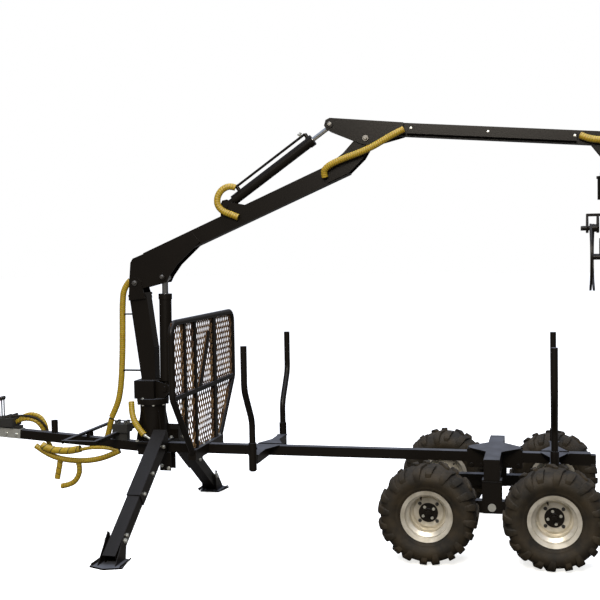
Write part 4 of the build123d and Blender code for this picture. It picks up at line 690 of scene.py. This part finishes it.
# Headboard: expanded steel sheet in the tube frame, thinly painted, so that brown rust and yard dust
# show on its strands. It is a net of cells 40 mm across and 72 mm high, cut to the frame's outline.
sheet_steel, tree, shader = new_finish("rusted_expanded_sheet")
place = add_node(tree, "ShaderNodeTexCoord")
bloom = add_node(tree, "ShaderNodeTexNoise", {"Vector": place.outputs["Object"], "Scale": 7, "Detail": 6})
bloom_mask = add_node(tree, "ShaderNodeMapRange", {0: bloom.outputs[0], 1: 0.38, 2: 0.62})
sheet_tint = add_node(tree, "ShaderNodeMix",
                      {0: bloom_mask.outputs[0], 6: linear("4A3018"), 7: linear("7D5F38")},
                      data_type="RGBA")
tree.links.new(sheet_tint.outputs[2], shader.inputs["Base Color"])
shader.inputs["Roughness"].default_value = 0.75
DIAMOND_Y = 0.040
DIAMOND_Z = 0.072
STRAND = 0.0072
CELLS = 50
GUARD_X = 1840
guard_low, guard_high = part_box("guard_mesh")
bpy.ops.object.select_all(action="DESELECT")
bpy.ops.mesh.primitive_grid_add(x_subdivisions=CELLS, y_subdivisions=CELLS, size=CELLS)
net = bpy.context.object
net.name = "guard_expanded_mesh"
guard_plane = drawn((GUARD_X, 0, 0)).x
guard_middle = (guard_low.z + guard_high.z) / 2
for vertex in net.data.vertices:
    u, v = vertex.co.x, vertex.co.y
    vertex.co = (guard_plane, (u - v) / 2 * DIAMOND_Y, guard_middle + (u + v) / 2 * DIAMOND_Z)
bpy.ops.object.mode_set(mode="EDIT")
edges = [((0, 600, 1000), (0, 1, 0)), ((0, -600, 1000), (0, -1, 0)), ((0, 0, 1350), (0, 0, 1)),
         ((0, 0, 545), (0, 0, -1)), ((0, 600, 900), (0, 355, -340)), ((0, -600, 900), (0, -355, -340))]
for point, outwards in edges:
    bpy.ops.mesh.select_all(action="SELECT")
    bpy.ops.mesh.bisect(plane_co=drawn(point), plane_no=outwards, clear_outer=True)
bpy.ops.object.mode_set(mode="OBJECT")
strands = net.modifiers.new("strands", "WIREFRAME")
strands.thickness = STRAND
strands.use_even_offset = False
strands.use_boundary = True
bpy.ops.object.modifier_apply(modifier="strands")
net.data.materials.append(sheet_steel)
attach(net, "chassis")
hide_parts("guard_mesh")
set_out(bolt, "guard_bolts", [((GUARD_X, y, 538.3), up, 1.0) for y in (270, -270, 60, -60)],
        "chassis", zinc_plate)

# Crane base, legs and mast: bolts through the base plate, the turning flange and the leg sleeves,
# and weld beads where the mast and its ears are set on.
MAST_X = 2202
BASE_BOLT_R = 93
FLANGE_BOLT_R = 94
base_bolts = []
for angle in range(0, 360, 45):
    a = math.radians(angle + 22.5)
    spot = (MAST_X + BASE_BOLT_R * math.cos(a), BASE_BOLT_R * math.sin(a), 785.6)
    base_bolts.append((spot, (0, 0, -1), 0.85))
for x, y in ((2115, 84), (2115, -84), (2285, 84), (2285, -84)):
    base_bolts.append(((x, y, 544.3), up, 1.1))
set_out(bolt, "base_bolts", base_bolts, "chassis", zinc_plate)
CLEAR_OF_MAST = 77
flange_bolts = []
for angle in range(0, 360, 60):
    a = math.radians(angle + 8)
    spot = (MAST_X + FLANGE_BOLT_R * math.cos(a), FLANGE_BOLT_R * math.sin(a), 822.6)
    # Bolts that would stand in the mast or its ears are left out.
    if abs(spot[1]) > CLEAR_OF_MAST:
        flange_bolts.append((spot, up, 0.75))
set_out(bolt, "flange_bolts", flange_bolts, "column", zinc_plate)
mast_runs = [((2140, 46, 941), (2262, 46, 941)), ((2140, -46, 941), (2262, -46, 941)),
             ((2212, 53, 1490), (2330, 53, 1490)), ((2212, -53, 1490), (2330, -53, 1490))]
weld_run("welds_mast", "column", mast_runs)
SLEEVE_FACE = 45.3
CHEEK_FACE = 55.8
leg_dir = Vector((0, math.cos(math.radians(34)), -math.sin(math.radians(34))))
for side_name, side in (("left", 1), ("right", -1)):
    out = Vector((0, side * leg_dir.y, leg_dir.z))
    sleeve_rows = []
    for reach in (70, 300, 470):
        spot = Vector((LEG_X, side * 125, 572)) + out * reach
        sleeve_rows.append((tuple(spot + Vector((SLEEVE_FACE, 0, 0))), front, 1.0))
        sleeve_rows.append((tuple(spot - Vector((SLEEVE_FACE, 0, 0))), back, 1.0))
    set_out(bolt, "sleeve_bolts_" + side_name, sleeve_rows, "chassis", zinc_plate)
    foot_rows = []
    for y, z, size in ((850, 118, 1.25), (822, 142, 1.0)):
        foot_rows += [((LEG_X + CHEEK_FACE, side * y, z), front, size),
                      ((LEG_X - CHEEK_FACE, side * y, z), back, size)]
    set_out(bolt, "foot_bolts_" + side_name, foot_rows, "leg_" + side_name, zinc_plate)

# Pins, rods and cylinders: ground steel pins with a keeper plate and bolt at each end, and rods of
# hard chrome over polished steel, with a thin film of oil that keeps them bright.
hard_chrome, tree, shader = new_finish("hard_chrome")
place = add_node(tree, "ShaderNodeTexCoord")
film = add_node(tree, "ShaderNodeTexNoise", {"Vector": place.outputs["Object"], "Scale": 30, "Detail": 3})
shine = add_node(tree, "ShaderNodeMapRange", {0: film.outputs[0], 3: 0.1, 4: 0.2})
tree.links.new(shine.outputs[0], shader.inputs["Roughness"])
shader.inputs["Base Color"].default_value = linear("D9DBDA")
shader.inputs["Metallic"].default_value = 1.0
pin_steel, tree, shader = new_finish("ground_pin_steel")
place = add_node(tree, "ShaderNodeTexCoord")
stain = add_node(tree, "ShaderNodeTexNoise", {"Vector": place.outputs["Object"], "Scale": 45, "Detail": 5})
steel_tint = add_node(tree, "ShaderNodeMix", {0: stain.outputs[0], 6: linear("5E5C58"), 7: linear("8B8985")},
                      data_type="RGBA")
tree.links.new(steel_tint.outputs[2], shader.inputs["Base Color"])
shader.inputs["Metallic"].default_value = 1.0
shader.inputs["Roughness"].default_value = 0.38
coat(hard_chrome, "lift_rod", "arm_rod", "grapple_rod")
coat(pin_steel, "boom_pin", "elbow_pin")
set_out(bolt, "boom_bolts", [((2282, 74.4, 1575), left, 1.1), ((2282, -74.4, 1575), to_right, 1.1),
                             ((2098, 58.4, 1612), left, 1.2), ((2098, -58.4, 1612), to_right, 1.2)],
        "boom", pin_steel)
set_out(bolt, "elbow_bolts", [((756, 72.4, 2443), left, 1.1), ((756, -72.4, 2443), to_right, 1.1),
                              ((978, 70.4, 2537), left, 1.2), ((978, -70.4, 2537), to_right, 1.2)],
        "arm", pin_steel)
set_out(bolt, "arm_bolts", [((477, 77.3, 2491), left, 0.7), ((20, 77.3, 2450), left, 0.7),
                            ((-476, 77.3, 2405), left, 0.7)], "arm", zinc_plate)

# Control valves over the coupling: a sectional cast iron block, painted black, with zinc plated
# unions on top and four spring-centred levers, each with a round black knob.
coat(cast_black, "valve_bank", "manifold")
union_nut = turned("union_nut", [(0.0125, 0.0), (0.0132, 0.001), (0.0132, 0.012), (0.0118, 0.0132),
                                 (0.0090, 0.0134), (0.0090, 0.024), (0.0075, 0.0245)], 6)
LEVER_ROWS = (-45, -15, 15, 45)
union_rows = []
for y in LEVER_ROWS:
    union_rows.append(((3214, y, 652), up, 0.85))
    union_rows.append(((3260, y, 646), up, 0.85))
for x in (2390, 2454):
    for y in (-24, 24):
        union_rows.append(((x, y, 645.2), up, 0.9))
set_out(union_nut, "valve_unions", union_rows, "chassis", zinc_plate)
knob = turned("lever_knob", [(0.0060, -0.0150), (0.0075, -0.0125), (0.0110, -0.0085), (0.0132, -0.002),
                             (0.0132, 0.004), (0.0108, 0.0095), (0.0060, 0.0126), (0.0010, 0.0132)], 20)
knob_plastic, tree, shader = new_finish("phenolic_knob")
shader.inputs["Roughness"].default_value = 0.25
place = add_node(tree, "ShaderNodeTexCoord")
wear = add_node(tree, "ShaderNodeTexNoise", {"Vector": place.outputs["Object"], "Scale": 120, "Detail": 3})
knob_tint = add_node(tree, "ShaderNodeMix", {0: wear.outputs[0], 6: linear("0F0F0F"), 7: linear("26241F")},
                     data_type="RGBA")
tree.links.new(knob_tint.outputs[2], shader.inputs["Base Color"])
set_out(knob, "lever_knobs", [((3308, y, 796), up, 1.02) for y in LEVER_ROWS],
        "chassis", knob_plastic)

# Hydraulic hoses: rubber hoses in the yellow spiral guard. They run from the valves down to the
# drawbar, up the mast, and over each joint of the crane. The leg hose ends in a bright swaged fitting.
# Columns: name, body, radius in mm, winding pitch in m, route
hoses = [
    ("arch", "chassis", 15, 0.024,
     [(3213, 0, 630), (3167, 0, 654), (3107, 0, 664), (3054, -10, 650), (3022, -28, 610), (3010, -48, 560),
      (2990, -52, 500), (2960, -46, 452)]),
    ("arch_far", "chassis", 14, 0.020,
     [(3206, -44, 640), (3160, -44, 676), (3100, -46, 690), (3040, -50, 672), (3006, -56, 620),
      (3000, -60, 560), (2990, -60, 500)]),
    ("bundle", "chassis", 19, 0.016,
     [(3043, 20, 484), (2978, 20, 440), (2891, 20, 406), (2797, 20, 392), (2688, 20, 391), (2580, 20, 408),
      (2493, 20, 440), (2440, 14, 466)]),
    ("flat", "chassis", 24, 0.060,
     [(2984, 45, 495), (2950, 45, 476), (2900, 45, 464), (2841, 45, 459), (2768, 45, 462), (2706, 45, 478)]),
    ("upper", "chassis", 12, 0.013,
     [(2706, 40, 470), (2659, 34, 481), (2602, 30, 486), (2538, 30, 486), (2488, 28, 478), (2450, 20, 468)]),
    ("leg", "chassis", 20, 0.014,
     [(2328, 62, 800), (2322, 76, 761), (2309, 92, 711), (2281, 108, 661), (2249, 120, 625),
      (2216, 130, 596)]),
    ("column_low", "chassis", 19, 0.013,
     [(2499, -2, 676), (2508, -8, 650), (2522, -16, 605), (2542, -24, 550)]),
    ("column", "column", 20, 0.013,
     [(2496, 0, 686), (2468, 0, 740), (2440, 0, 810), (2421, 0, 920), (2409, 0, 1090), (2403, 0, 1264),
      (2399, 0, 1440), (2386, 0, 1545), (2340, 0, 1590)]),
    ("boom", "boom", 21, 0.016,
     [(1598, 34, 2170), (1632, 42, 2184), (1684, 54, 2160), (1712, 60, 2114), (1712, 62, 2062),
      (1678, 61, 2022), (1623, 60, 2002), (1575, 58, 1982)]),
    ("elbow", "boom", 20, 0.014,
     [(1012, 66, 2214), (1020, 74, 2250), (996, 82, 2276), (956, 88, 2298), (881, 90, 2326), (800, 90, 2352),
      (713, 90, 2385), (640, 90, 2425), (578, 90, 2459), (518, 86, 2485)]),
    ("arm_tip", "arm", 20, 0.014,
     [(-506, 60, 2408), (-538, 66, 2392), (-580, 70, 2380), (-630, 74, 2374), (-690, 80, 2340),
      (-722, 80, 2280), (-716, 80, 2222), (-684, 78, 2188)])]
stands_for = {"column": "hose_column", "boom": "hose_boom", "elbow": "hose_elbow", "arm_tip": "hose_arm_tip"}
for name, body, radius, pitch, route in hoses:
    piece = wound_hose("hose_guard_" + name, route, radius / 1000, pitch)[0]
    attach(piece, body)
    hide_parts(stands_for.get(name, "hoses_drawbar"))
bare_hose = wound_hose("hose_bare_arch", [
    (3305, 20, 662), (3215, 20, 681), (3113, 15, 687), (3048, 0, 671), (3007, -20, 634), (2985, -45, 579),
    (2980, -50, 530)], 0.008, 0.05, 12)[0]
bare_hose.data.materials[0] = tyre_rubber
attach(bare_hose, "chassis")
swaged = turned("swaged_fitting", [(0.0110, -0.006), (0.0125, -0.004), (0.0125, 0.024), (0.0080, 0.027),
                                   (0.0080, 0.058), (0.0110, 0.060), (0.0110, 0.078), (0.0060, 0.080)], 16)
set_out(swaged, "leg_hose_fitting", [((2219, 130, 598), (-69, 8, -38), 0.84)], "chassis", zinc_plate)
set_out(union_nut, "pipe_elbow_nut", [((1188, 0, 2480), (-0.5, 0, 0.86), 1.0)],
        "arm_barrel", zinc_plate)

# Floor and light: a plain white floor and surround under a large soft lamp overhead and a smaller one
# in front. Both look white, but bounces see a dim yard below a pale sky, so black steel stays deep.
FLOOR_HALF = 60
bpy.ops.object.select_all(action="DESELECT")
bpy.ops.mesh.primitive_plane_add(size=2 * FLOOR_HALF, location=(0, 0, 0))
floor = bpy.context.object
floor.name = "studio_floor"
bpy.ops.object.transform_apply(location=True, rotation=True, scale=True)
floor_paint, tree, shader = new_finish("pale_floor_paint")
seen = add_node(tree, "ShaderNodeLightPath")
floor_tint = add_node(tree, "ShaderNodeMix", {0: seen.outputs["Is Camera Ray"], 6: linear("6E6A63"),
                                              7: linear("FBFBFA")}, data_type="RGBA")
tree.links.new(floor_tint.outputs[2], shader.inputs["Base Color"])
shader.inputs["Roughness"].default_value = 1.0
shader.inputs["Specular IOR Level"].default_value = 0.0
shader.inputs["Emission Color"].default_value = linear("FFFEFA")
lift = add_node(tree, "ShaderNodeMath", {0: seen.outputs["Is Camera Ray"], 1: 0.75}, operation="MULTIPLY")
tree.links.new(lift.outputs[0], shader.inputs["Emission Strength"])
floor.data.materials.append(floor_paint)
world = bpy.data.worlds.new("studio")
bpy.context.scene.world = world
world.use_nodes = True
tree = world.node_tree
surround = tree.nodes["Background"]
direction = add_node(tree, "ShaderNodeTexCoord")
height = add_node(tree, "ShaderNodeSeparateXYZ", {0: direction.outputs["Generated"]})
climb = add_node(tree, "ShaderNodeMapRange", {0: height.outputs[2], 1: 0.0, 2: 0.75})
sky = add_node(tree, "ShaderNodeMix", {0: climb.outputs[0], 6: linear("77726A"), 7: linear("A8B2C8")},
               data_type="RGBA")
seen = add_node(tree, "ShaderNodeLightPath")
backdrop = add_node(tree, "ShaderNodeMix", {0: seen.outputs["Is Camera Ray"], 6: sky.outputs[2],
                                            7: linear("FFFFFF")}, data_type="RGBA")
tree.links.new(backdrop.outputs[2], surround.inputs[0])
bpy.context.scene.view_settings.view_transform = "Standard"


def lamp(name, spot, aim, size, power, colour):
    light = bpy.data.lights.new(name, "AREA")
    light.shape = "SQUARE"
    light.size = size
    light.energy = power
    light.color = linear(colour)[:3]
    holder = bpy.data.objects.new(name, light)
    bpy.context.scene.collection.objects.link(holder)
    holder.location = spot
    holder.rotation_euler = (Vector(aim) - Vector(spot)).to_track_quat("-Z", "Y").to_euler()


lamp("lamp_over", (-0.5, 0.5, 9.0), (-0.5, 0, 0), 9.0, 760, "EEF3FF")
lamp("lamp_front", (-0.8, 7.0, 5.2), (-0.6, 0, 0.9), 3.0, 470, "FFF6E8")

for pattern in (bolt, castle_nut, valve, union_nut, knob, swaged):
    bpy.data.objects.remove(pattern)
